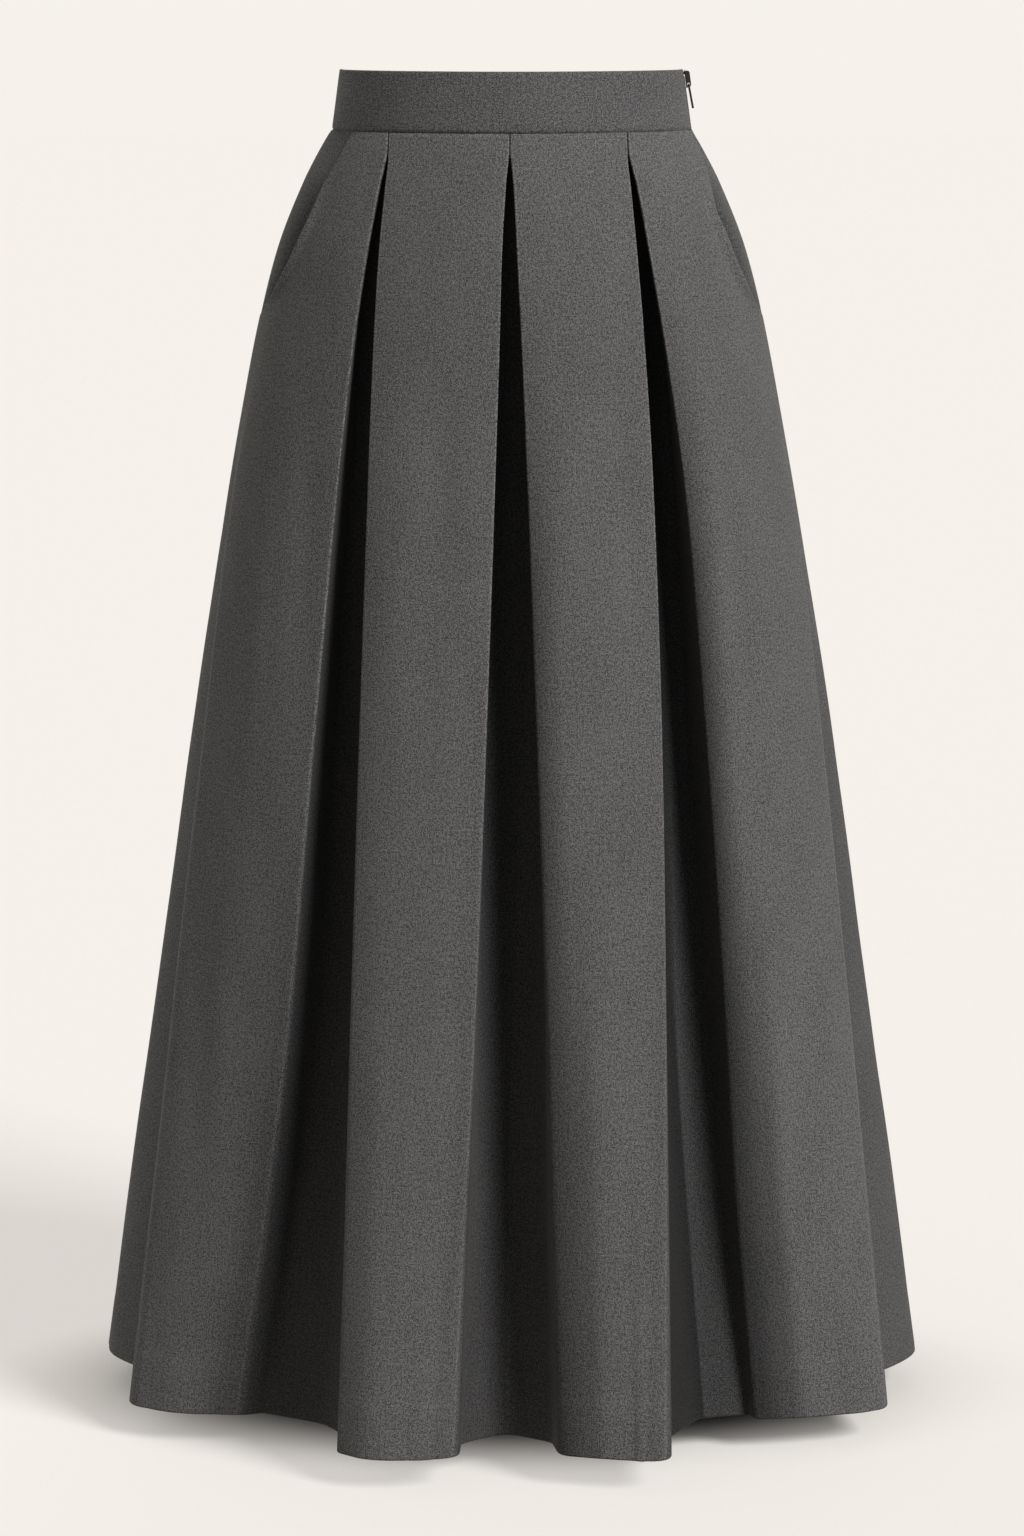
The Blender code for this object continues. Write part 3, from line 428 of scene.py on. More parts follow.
def edgeCorner(half, oval, z, name, roll=0.0):
    # the cloth's middle lies half its thickness behind the edge that shows; roll sets it back
    p = pleatSettings
    hemDepth, hemRadius = half["hemEdges"][name]
    fall = fallAt(z)
    depth = hemDepth * fall**2 + roll
    growth = p["edgeGrowthA" if name[-1] == "A" else "edgeGrowth"]
    radius = mix(p["pressedRadius"], hemRadius, fall**growth)
    x = readRow(half["edges"], edgeNames, name, z)
    shift = mix(*p["edgeShift"], ease(-z, *p["shiftGrows"]))
    x += {"A": -1, "B": 1}.get(name[-1], 0) * shift
    return girthAt(oval, x, depth), depth, radius


def pleatCorners(half, oval, z, pleat):
    # edge, inner fold, inner fold and edge again, with two corners at each
    p = pleatSettings
    returnA, returnB, hemGirthA, hemDepthA, hemGirthB, hemDepthB = half["pleats"][pleat]
    fall = fallAt(z)
    grown = fall**p["foldGrowth"]
    girthA, depthA, radiusA = edgeCorner(half, oval, z, pleat + "A")
    width, drop, reach = half["shoulders"][pleat]
    roll = drop * grown
    girthB, depthB, radiusB = edgeCorner(half, oval, z, pleat + "B", roll)
    backing = mix(returnA + returnB, p["backingAtHem"], fall)
    returnA = mix(returnA, p["returnAtHem"], fall)
    returnB = mix(returnB, p["returnAtHem"], fall)
    tuck = min((backing - (girthB - girthA)) / (returnA + returnB), 1.0)
    swing = math.sqrt(1 - tuck * tuck)
    settled = fallEase("foldsSettle", fall)
    edgeA = (girthA, depthA)
    edgeB = (girthB, depthB)
    hollow = p["hollow"] * math.sin(math.pi * fall) ** p["hollowPower"]
    innerA = (mix(girthA - returnA * tuck, girthA + hemGirthA, settled),
              mix(depthA + returnA * swing, hemDepthA, settled) + hollow)
    innerB = (mix(girthB + returnB * tuck, girthB + hemGirthB, settled),
              mix(depthB - roll + returnB * swing, hemDepthB, settled) + hollow)
    spread = p["spread"] * fall
    layer = garment["layerStep"] * (1 - fall)

    def toward(start, end, layers):
        return (mix(start[0], end[0], spread), mix(start[1], end[1], spread) + layers * layer)

    innerRadius = mix(p["pressedRadius"], p["innerRadiusAtHem"], grown)
    # the edge on the left of each panel rolls away over a wide shoulder
    shoulder = (girthB + width, depthB - roll)
    # painted shade: the cloth's colour darkens before each pleat, inside it and over the next panel's
    # shoulder, where shade falls
    before, inside, foldA, foldB, after = half["shades"][pleat]
    before *= fallEase("shadeBefore", fall)
    after *= fallEase("shadeAfter", fall)
    overShoulder = p["shoulderShade"] * after * fallEase("shadeShoulder", fall)
    n = pointCounts
    return [
        corner(edgeA, radiusA, n["edge"], pressed=1.0, shade=(before, inside)),
        corner(toward(edgeA, innerA, 1), radiusA, n["fold"], n["return"], shade=inside),
        corner(toward(innerA, edgeA, 1), innerRadius, n["fold"], shade=foldA),
        corner(toward(innerA, innerB, 2), innerRadius, n["fold"], n["backing"], shade=foldA),
        corner(toward(innerB, innerA, 2), innerRadius, n["fold"], shade=foldB),
        corner(toward(innerB, edgeB, 1), innerRadius, n["fold"], n["return"], shade=foldB),
        corner(toward(edgeB, innerB, 1), radiusB, n["fold"], shade=foldB),
        corner(edgeB, radiusB, n["edge"], pressed=1.0 - fallEase("edgeSoftens", fall),
               shade=(foldB, after)),
        corner(shoulder, width * p["shoulderBack"], n["shoulder"], n["panel"],
               bulge=p["bulge"] * fall, ahead=reach, shade=(overShoulder, 0.0)),
    ]


def sideCorners(half, oval, z, side):
    # the rolled seam edge, then the flute, the trough and the outer crease
    p = pleatSettings
    sign = -1 if side == "Left" else 1
    troughDepth, fluteDepth, shade = half["sides"][side]
    fall = fallAt(z)
    end = sign * panelEnd(half, oval, z, side)
    crease, creaseDepth, creaseRadius = edgeCorner(half, oval, z, "crease" + side)
    begins = p["troughStarts"]
    sink = max((fall - begins) / (1 - begins), 0.0) ** p["foldGrowth"]
    radius = mix(p["pressedRadius"], p["sideRadiusAtHem"], fall)
    roll = p["seamRoll"]
    lift = pocketSettings["mouthLift"] * pocketOpens(z) if half["pockets"] else 0.0
    isMouth = half["pockets"] and z > pocketSettings["mouthEnd"]
    # painted shade on the cloth between the side seam and the crease
    shade *= fallEase("shadeSide", fall)
    flute = (mix(end, crease, p["fluteShare"]), fluteDepth * sink - lift)
    trough = (mix(end, crease, p["troughShare"]), troughDepth * sink)
    pressed = pocketSettings["pressed"] if isMouth else 0.0
    n = pointCounts
    return [
        corner((end, roll - lift), 0.0, n["end"], shade=shade),
        corner((end - sign * roll / 4, -lift), roll, n["fold"], n["hipEdge"],
               pressed=pressed, shade=shade),
        corner(flute, radius, n["fold"], n["flute"], shade=shade),
        corner(trough, radius, n["fold"], n["flute"], shade=shade),
        corner((crease, creaseDepth), creaseRadius, n["edge"], n["sidePanel"],
               bulge=p["sideBulge"] * fall, pressed=fallEase("creaseSharpens", fall),
               shade=(shade, 0.0)),
    ]


def turned(corners):
    # the same stretch walked the other way: each run belongs to the corner that it starts from
    back = []
    for place in range(len(corners) - 1, -1, -1):
        before = corners[place - 1] if place else {"run": 0, "bulge": 0.0}
        back.append(dict(corners[place], run=before["run"], bulge=before["bulge"],
                         radius=corners[place]["radius"][::-1], shade=corners[place]["shade"][::-1]))
    return back


def sectionCorners(half, oval, z):
    corners = sideCorners(half, oval, z, "Left")
    for pleat in pleatNames:
        corners += pleatCorners(half, oval, z, pleat)
    return corners + turned(sideCorners(half, oval, z, "Right"))


roundingSettings = {
    "share": 0.42,  # the most of a stretch that one rounding takes up
    "farAway": 0.02,  # from here on, the cloth is clear of a pressed edge
    "softEdge": 0.0016,
    "darkens": (0.5, 0.9),  # shares of the rounding where the painted shade comes and goes
    "lightens": (0.1, 0.5),
}


def roundedPath(corners):
    # points in girth and depth, how far each is from the nearest pressed edge, and its painted shade
    r = roundingSettings
    spots = [np.array((c["girth"], c["depth"])) for c in corners]
    trims = []
    for i, c in enumerate(corners):
        if i in (0, len(corners) - 1):
            trims.append((0.0, 0.0))
            continue
        before = np.linalg.norm(spots[i] - spots[i - 1])
        after = np.linalg.norm(spots[i + 1] - spots[i])
        share = r["share"]
        trims.append((min(c["radius"][0], share * before), min(c["radius"][1], share * after)))
    points, creases, shades = [], [], []
    for i, c in enumerate(corners):
        here = spots[i]
        darkBefore, darkAfter = c["shade"]
        if c["arc"] == pointCounts["end"]:
            points.append(here)
            shades.append(darkBefore)
        else:
            back = (spots[i - 1] - here) / np.linalg.norm(spots[i - 1] - here)
            ahead = (spots[i + 1] - here) / np.linalg.norm(spots[i + 1] - here)
            start = here + back * trims[i][0]
            end = here + ahead * trims[i][1]
            if c["pressed"] > 0:
                creases.append((len(points) + c["arc"] // 2, c["pressed"]))
            for u in np.linspace(0, 1, c["arc"]):
                points.append((1 - u)**2 * start + 2 * u * (1 - u) * here + u * u * end)
                change = r["darkens" if darkAfter > darkBefore else "lightens"]
                shades.append(mix(darkBefore, darkAfter, ease(u, *change)))
        if c["run"]:
            leave = points[-1]
            gap = np.linalg.norm(here - spots[i + 1])
            arrive = spots[i + 1] + (here - spots[i + 1]) * trims[i + 1][0] / gap
            for step in range(1, c["run"] + 1):
                u = step / (c["run"] + 1)
                points.append(mix(leave, arrive, u) - np.array((0.0, c["bulge"] * 4 * u * (1 - u))))
                shades.append(mix(darkAfter, corners[i + 1]["shade"][0], u**3))
    points = np.array(points)
    walked = np.concatenate([[0.0], np.cumsum(np.linalg.norm(np.diff(points, axis=0), axis=1))])
    away = np.full(len(points), r["farAway"])
    for place, strength in creases:
        softened = r["softEdge"] * (1 - strength)
        away = np.minimum(away, np.abs(walked - walked[place]) + softened)
    return points, away, np.array(shades)


unevenCloth = {
    "calmTo": (0.03, 0.14),  # from no unevenness to all of it, down from the waist
    "foldTop": 0.8,  # below 1, a fold is deepest above its middle
    "foldEnds": 1.5,
    "waves": [(0.0009, 17, 3.1, 0), (0.0004, 45, 7.0, 9)],  # height, scale across and down, seed
}


def foldDepth(folds, oval, girths, z, seed):
    # how far the soft folds push the cloth in at one height, the same for every layer there
    total = np.zeros(len(girths))
    for topX, topZ, footX, footZ, width, depth in folds:
        along = (topZ - z) / (topZ - footZ)
        if not 0 < along < 1:
            continue
        centre = girthAt(oval, mix(topX, footX, along))
        strength = math.sin(math.pi * along**unevenCloth["foldTop"]) ** unevenCloth["foldEnds"]
        total += depth * strength * np.exp(-((girths - centre) / width)**2)
    loose = ease(-z, *unevenCloth["calmTo"])
    for height, across, down, shift in unevenCloth["waves"]:
        for i, girth in enumerate(girths):
            total[i] += height * loose * noise.noise(Vector((girth * across, z * down, seed + shift)))
    return total


def clothPlaces(across, down, shift=0.0):
    # where each point lies on the flat cloth, in metres: across the grain and along it
    return [np.column_stack([row + shift, np.full(len(row), -z)]) for row, z in zip(across, down)]


def gridMesh(name, rows, uvs, owners=None, edgeDistance=None, paintedShade=None):
    # a sheet through rows of points, from the top down, with cloth coordinates in metres
    mesh = bpy.data.meshes.new(name)
    count = len(rows[0])
    verts = [tuple(p) for row in rows for p in row]
    faces = []
    for j in range(len(rows) - 1):
        for i in range(count - 1):
            a = j * count + i
            faces.append((a, a + count, a + count + 1, a + 1))
    mesh.from_pydata(verts, [], faces)
    mesh.shade_smooth()
    piece = addObject(name, mesh)
    far = [np.full(count, roundingSettings["farAway"])] * len(rows)
    flat = [np.zeros(count)] * len(rows)
    # masks for the cloth's colour: distance from a pressed edge, for its painted highlight, and the
    # painted shade
    for maskName, values in (("edgeDistance", edgeDistance or far), ("paintedShade", paintedShade or flat)):
        mask = mesh.attributes.new(maskName, "FLOAT", "POINT")
        mask.data.foreach_set("value", np.concatenate(values).astype(np.float32))
    layer = mesh.uv_layers.new(name="clothGrain")
    spots = []
    for j in range(len(rows) - 1):
        for i in range(count - 1):
            owner = owners[i] if owners is not None else 0
            for row, place in ((j, i), (j + 1, i), (j + 1, i + 1), (j, i + 1)):
                spots.append(uvs[owner][row][place])
    layer.data.foreach_set("uv", np.array(spots, np.float32).ravel())
    return piece


def clothThickness(piece, thickness, group=None):
    solid = piece.modifiers.new("cloth thickness", "SOLIDIFY")
    solid.thickness = thickness
    solid.offset = 0.0
    solid.use_even_offset = True
    solid.use_quality_normals = True
    if group:
        solid.vertex_group = group
    return solid


def worldRow(half, oval, girth, depth, z):
    x, out = placeOnOval(oval, girth, depth)
    height = z - waistDip(half, oval, girth, z)
    return np.column_stack([half["turn"] * x, -half["turn"] * out, height])


skirtRows = {
    "atTop": (0.0, 0.0006, 0.0014),  # rows close under the waist seam
    "fine": 0.0035,  # row spacing at the waist
    "coarse": 0.0074,  # and in the long hanging part
    "coarsens": (0.05, 0.30),
    "clearOfHem": 0.006,
    "hemStep": 0.0010,
    "hemRows": 7,
    "aboveHem": (0.0016, 0.0007, 0.0),
    "hemAllowance": 0.038,
    "hemFullness": 0.0015,  # thickness where the hem is double
    "edgeFullness": 0.35,  # share of it on the last row, which turns round
    "grainStep": 0.45,  # between the panels' places on the cloth
    "grainStart": 0.2,
    "beforePleat": 13,  # points from a panel's middle to the next pleat
}


def skirtLevels():
    r = skirtRows
    top = garment["waistSeam"] - garment["seamGap"]
    hem = garment["hem"]
    hemTop = hem + r["hemAllowance"]
    levels = [top - step for step in r["atTop"]]
    z = top - r["fine"]
    while z > hemTop + r["clearOfHem"]:
        levels.append(z)
        coarse = ease(-z, *r["coarsens"])
        z -= mix(r["fine"], r["coarse"], coarse)
    levels += [hemTop + r["hemStep"], hemTop]
    levels += list(np.linspace(hemTop, hem + r["aboveHem"][0], r["hemRows"])[1:])
    return levels + [hem + step for step in r["aboveHem"][1:]]


def turnIn(place):
    # the first two rows of the cloth turn in under the band
    return garment["turnIns"][place] if place < len(garment["turnIns"]) else 0.0


def pointsOn(corners):
    return sum(c["arc"] + c["run"] for c in corners)


def panelMiddles(half):
    # which panel each strip of faces belongs to, and the point in the middle of each panel
    oval = ovalAt(skirtOutline, garment["hem"], half)
    side = pointsOn(sideCorners(half, oval, garment["hem"], "Left"))
    corners = pleatCorners(half, oval, garment["hem"], "left")
    pleat = pointsOn(corners)
    pleatMiddle = pointsOn(corners[:3]) + pointCounts["fold"] + pointCounts["backing"] // 2
    cuts = [side + pleatMiddle + n * pleat for n in range(len(pleatNames))]
    middles = [side + n * pleat - skirtRows["beforePleat"] for n in range(len(pleatNames) + 1)]
    return cuts, middles


def makeSkirtPanel(name, half, folds, seed):
    r = skirtRows
    levels = skirtLevels()
    rows, pressed, paintedShadeRows, grain = [], [], [], []
    for place, z in enumerate(levels):
        oval = ovalAt(skirtOutline, z, half)
        path, away, shade = roundedPath(sectionCorners(half, oval, z))
        girth, depth = path[:, 0], path[:, 1]
        depth = depth + garment["clothThickness"] / 2 + foldDepth(folds, oval, girth, z, seed)
        row = worldRow(half, oval, girth, depth + turnIn(place), z)
        rows.append(row)
        pressed.append(away + (roundingSettings["farAway"] if turnIn(place) else 0.0))
        paintedShadeRows.append(shade)
        steps = np.linalg.norm(np.diff(row[:, :2], axis=0), axis=1)
        grain.append(np.concatenate([[0.0], np.cumsum(steps)]))
    count = len(rows[0])
    # the cloth's grain runs down the middle of each panel, and changes inside the pleats
    cuts, middles = panelMiddles(half)
    owners = [sum(i >= cut for cut in cuts) for i in range(count - 1)]
    uvs = {}
    for owner, middle in enumerate(middles):
        place = r["grainStep"] * owner + r["grainStart"]
        uvs[owner] = clothPlaces([row - row[middle] for row in grain], levels, place)
    piece = gridMesh(name, rows, uvs, owners, pressed, paintedShadeRows)
    fullness = piece.vertex_groups.new(name="hemFullness")
    thin = garment["clothThickness"] / r["hemFullness"]
    hemTop = garment["hem"] + r["hemAllowance"]
    for j, z in enumerate(levels):
        weight = thin if z > hemTop else 1.0
        if z == garment["hem"]:
            weight = r["edgeFullness"]
        fullness.add(range(j * count, (j + 1) * count), weight, "REPLACE")
    clothThickness(piece, r["hemFullness"], "hemFullness")
    return piece


skirtFront = makeSkirtPanel("skirtFront", frontHalf, frontFolds, 3.7)
skirtBack = makeSkirtPanel("skirtBack", backHalf, backFolds, 21.4)
print("skirt panels:", len(skirtFront.data.vertices), len(skirtBack.data.vertices))


facingSettings = {
    "stations": 34,
    "rows": 44,
    "firstRow": 0.003,
    "lapGrowsTo": 0.085,
    "zipShowsTo": -0.060,
    "pastSeam": 0.006,  # how far it reaches below the mouth, hidden
    "sinks": (0.0015, 0.020),  # widths of what shows, from flat to all of the sink
    "clearance": 0.0010,
    "hollowReach": (0.004, 0.30),  # from the mouth's edge: least, and share of what shows
    "flattens": (0.30, 0.97),
    "seamEdge": 0.0011,
    # where the painted shade beside the mouth starts, how far it spreads, and the heights below the
    # waist where it comes in
    "shadeFrom": 0.002,
    "shadeWidth": 1.2,
    "shadeFalls": (0.045, 0.085),
    "grainPlace": (2.4, 0.4),
}


def makeFacing(name, side):
    # the side hip piece, which sinks a little behind the pocket mouth and comes up to the side seam
    f = facingSettings
    sign = -1 if side == "Left" else 1
    top = garment["waistSeam"] - garment["seamGap"]
    levels = [top - step for step in skirtRows["atTop"][:2]]
    levels += list(np.linspace(top - f["firstRow"], pocketSettings["facingEnd"], f["rows"]))
    rows, grain, paintedShadeRows = [], [], []
    flush = garment["clothThickness"] / 2
    behind = flush + garment["clothThickness"] + pocketSettings["gap"]
    for place, z in enumerate(levels):
        oval = ovalAt(skirtOutline, z, frontHalf)
        below = z <= pocketSettings["mouthEnd"]
        near = oval["halfGirth"] if below else mouthGirth(oval, z, side)
        lap = mix(pocketSettings["lapAtWaist"], pocketSettings["lap"],
                  ease(-z, -garment["waistSeam"], f["lapGrowsTo"]))
        far = oval["halfGirth"] - garment["seamGap"] / 2
        if side == "Right" and z > f["zipShowsTo"]:
            far = oval["halfGirth"] + min(zipRow("facingEdge", z), -garment["seamGap"] / 2)
        if below:
            far = oval["halfGirth"] + f["pastSeam"]
        girth = np.linspace(near - lap, far, f["stations"])
        across = np.clip((girth - near) / max(far - near, 1e-6), 0.0, 1.0)
        opens = pocketOpens(z) * ease(far - near, *f["sinks"])
        hollow = pocketSettings["sink"] * opens + f["clearance"]
        reach = f["hollowReach"][0] + f["hollowReach"][1] * max(far - near, 0.0)
        byMouth = np.exp(-((girth - near - f["clearance"]) / reach)**2)
        flat = 0.0 if below else ease(across, *f["flattens"])
        depth = mix(behind + hollow * byMouth, flush, flat)
        if not below:
            depth = depth + pleatSettings["seamRoll"] * ease(girth, far - f["seamEdge"], far)
        rows.append(worldRow(frontHalf, oval, sign * girth, depth + turnIn(place), z))
        # painted shade on the facing, darkest beside the mouth's edge, where the front panel's shade
        # falls
        beyond = np.maximum(girth - near - f["shadeFrom"], 0.0)
        shade = np.exp(-(beyond / (f["shadeWidth"] * reach))**2)
        paintedShadeRows.append(pocketSettings["shade"] * shade * ease(-z, *f["shadeFalls"]))
        grain.append(girth)
    if sign < 0:
        rows = [row[::-1] for row in rows]
        paintedShadeRows = [row[::-1] for row in paintedShadeRows]
        grain = [g[::-1] * -1 for g in grain]
    shift = f["grainPlace"][0] + f["grainPlace"][1] * sign
    piece = gridMesh(name, rows, {0: clothPlaces(grain, levels, shift)}, paintedShade=paintedShadeRows)
    clothThickness(piece, garment["clothThickness"])
    return piece


facingRight = makeFacing("pocketFacingRight", "Left")
facingLeft = makeFacing("pocketFacingLeft", "Right")
print("pocket facings made")


bandSettings = {
    "thickness": 0.0018,
    "stations": 150,
    "rows": 12,
    "edgeRoll": 0.0009,
    "topTurn": (0, 25, 50, 90),  # degrees round the folded top edge
    "flatFrom": 0.003,
    "aboveSeam": (0.0025, 0.0010, 0.0003, 0.0),
    "endRows": (0.0003, 0.0012),  # from each end
    "endTurn": (0.0006, 0.0010),  # how far the ends turn in, and over what width
    "seamTurn": (0.0013, 0.0014),
    "wave": (0.0004, 11, 16, 5.0),  # height, scale across and down, seed
    "edgeFullness": 0.12,
    "grainPlace": (4.0, 0.5),
}


def makeBand(name, half):
    # cut double and folded over at the top; both long edges turn in
    b = bandSettings
    top, seam, roll = garment["bandTop"], garment["waistSeam"], b["edgeRoll"]
    levels = [top - roll * (1 - math.cos(turn)) for turn in np.radians(b["topTurn"])]
    levels += list(np.linspace(top - b["flatFrom"], seam + b["aboveSeam"][0], b["rows"]))
    levels += [seam + step for step in b["aboveSeam"][1:]]
    outer, grain = [], []
    for z in levels:
        oval = ovalAt(bandOutline, z, half)
        zipEnd = oval["halfGirth"] - zipSettings["slit"]
        seamEnd = oval["halfGirth"] - garment["seamGap"] / 2
        left, right = (seamEnd, zipEnd) if half["pockets"] else (zipEnd, seamEnd)
        nextRow, flatEnd = b["endRows"]
        inner = np.linspace(-left + flatEnd, right - flatEnd, b["stations"])
        girth = np.concatenate([[-left, -left + nextRow], inner, [right - nextRow, right]])
        ends = np.minimum(girth + left, right - girth)
        depth = b["thickness"] / 2 + b["endTurn"][0] * (1 - ease(ends, 0.0, b["endTurn"][1]))
        depth = depth + b["seamTurn"][0] * (1 - ease(z, seam, seam + b["seamTurn"][1]))
        height, across, down, seed = b["wave"]
        spots = [Vector((g * across, z * down, seed * half["turn"])) for g in girth]
        wave = height * np.array([noise.noise(spot) for spot in spots])
        outer.append(worldRow(half, oval, girth, depth + wave, z))
        grain.append(girth)
    # the band is cut across the cloth
    turnedGrain = [places[:, ::-1] + b["grainPlace"] for places in clothPlaces(grain, levels)]
    piece = gridMesh(name, outer, {0: turnedGrain})
    count = len(outer[0])
    group = piece.vertex_groups.new(name="bandFullness")
    for j, z in enumerate(levels):
        rise = max(z - (top - roll), 0.0) / roll
        weight = max(math.sqrt(max(1 - rise * rise, 0.0)), b["edgeFullness"])
        group.add(range(j * count, (j + 1) * count), weight, "REPLACE")
    clothThickness(piece, b["thickness"], "bandFullness")
    return piece


bandFront = makeBand("waistbandFront", frontHalf)
bandBack = makeBand("waistbandBack", backHalf)
print("waistband made")


def zipOval(z):
    outline = bandOutline if z >= garment["waistSeam"] else skirtOutline
    return ovalAt(outline, z, frontHalf)


def makeTape(name, sign):
    # one zip tape, with its woven edge
    t = zipSettings
    levels = list(np.arange(t["tapeTop"], t["tapeEnd"], -t["tapeRow"])) + [t["tapeEnd"]]
    rows, grain = [], []
    for z in levels:
        oval = zipOval(z)
        tape = zipRow("tapeDepth", z) + t["tapeThickness"] / 2
        across = np.linspace(t["halfGap"], t["tapeWidth"], t["tapeStations"])
        girth = oval["halfGirth"] - sign * across
        rows.append(worldRow(frontHalf, oval, girth, np.full(len(girth), tape), z))
        rows[-1][:, 2] = z
        grain.append(across)
    piece = gridMesh(name, rows, {0: clothPlaces(grain, levels)})
    clothThickness(piece, t["tapeThickness"])
    return piece


tapeFront = makeTape("zipTapeFront", 1)
tapeBack = makeTape("zipTapeBack", -1)


def makeTeeth(name, sign):
    # small rounded teeth, those of the two tapes half a pitch apart
    t = zipSettings
    mesh = bmesh.new()
    pitch = t["toothPitch"]
    z = t["chainTop"] - (0.0 if sign > 0 else pitch / 2)
    reach = t["chainHalfWidth"] + t["toothLap"]
    middle = sign * (reach / 2 - t["toothLap"])
    while z > t["chainEnd"]:
        oval = zipOval(z)
        face = zipRow("chainDepth", z)
        tape = zipRow("tapeDepth", z)
        cube = bmesh.ops.create_cube(mesh, size=1.0)["verts"]
        x = placeOnOval(oval, oval["halfGirth"], (face + tape) / 2)[0]
        size = Vector((tape - face, reach, pitch * t["toothShare"]))
        bmesh.ops.scale(mesh, vec=size, verts=cube)
        bmesh.ops.translate(mesh, vec=Vector((float(x), -middle, z)), verts=cube)
        z -= pitch
    data = bpy.data.meshes.new(name)
    mesh.to_mesh(data)
    mesh.free()
    piece = addObject(name, data)
    bevel = piece.modifiers.new("rounded teeth", "BEVEL")
    bevel.width = t["toothBevel"]
    bevel.segments = 2
    return piece


teethFront = makeTeeth("zipTeethFront", 1)
teethBack = makeTeeth("zipTeethBack", -1)
print("zip chain made")


def socket(group, name, kind, way="INPUT", value=None):
    made = group.interface.new_socket(name=name, in_out=way, socket_type=kind)
    if value is not None:
        made.default_value = value
    return made


def node(tree, kind, **settings):
    made = tree.nodes.new(kind)
    for key, value in settings.items():
        setattr(made, key, value)
    return made


def setInputs(made, values):
    for name, value in values.items():
        made.inputs[name].default_value = value


def makeRange(tree, fromMin, fromMax, toMin, toMax):
    made = node(tree, "ShaderNodeMapRange", interpolation_type="SMOOTHSTEP")
    setInputs(made, {"From Min": fromMin, "From Max": fromMax, "To Min": toMin, "To Max": toMax})
    return made


def math2(tree, operation, a, b=None, clamp=False):
    made = node(tree, "ShaderNodeMath", operation=operation, use_clamp=clamp)
    for place, value in enumerate((a, b)):
        if value is None:
            continue
        if isinstance(value, (int, float)):
            made.inputs[place].default_value = value
        else:
            tree.links.new(value, made.inputs[place])
    return made.outputs[0]


# the cloth's fine look: mixed dark and light fibres, faint slubs down the cloth and a plain weave; then
# a painted highlight along the pressed edges and painted shade in the pleats and by the pocket mouths
weaveSettings = {
    # scale across, scale along, detail, roughness, share in the mix
    "textures": [
        (1200, 1000, 2.0, 0.60, 3.20),  # mixed fibres, under a millimetre across
        (480, 400, 1.0, 0.50, 0.90),  # flecks
        (700, 60, 2.0, 0.55, 0.32),  # slubs, long thin places down the cloth
        (70, 900, 1.0, 0.50, 0.30),  # weft
        (26, 14, 2.0, 0.50, 0.20),  # cloudy places
    ],
    "edgeHighlight": (0.0004, 0.0014),  # a painted highlight along each pressed edge: how far it reaches, and how bright
    "edgeHighlightGain": 1.22,
    "threadRepeat": 0.0010,  # two threads, one over and one under
    "threadHeight": 0.25,
    "roughness": (0.92, -0.12),  # of dark cloth, and the change to light
}


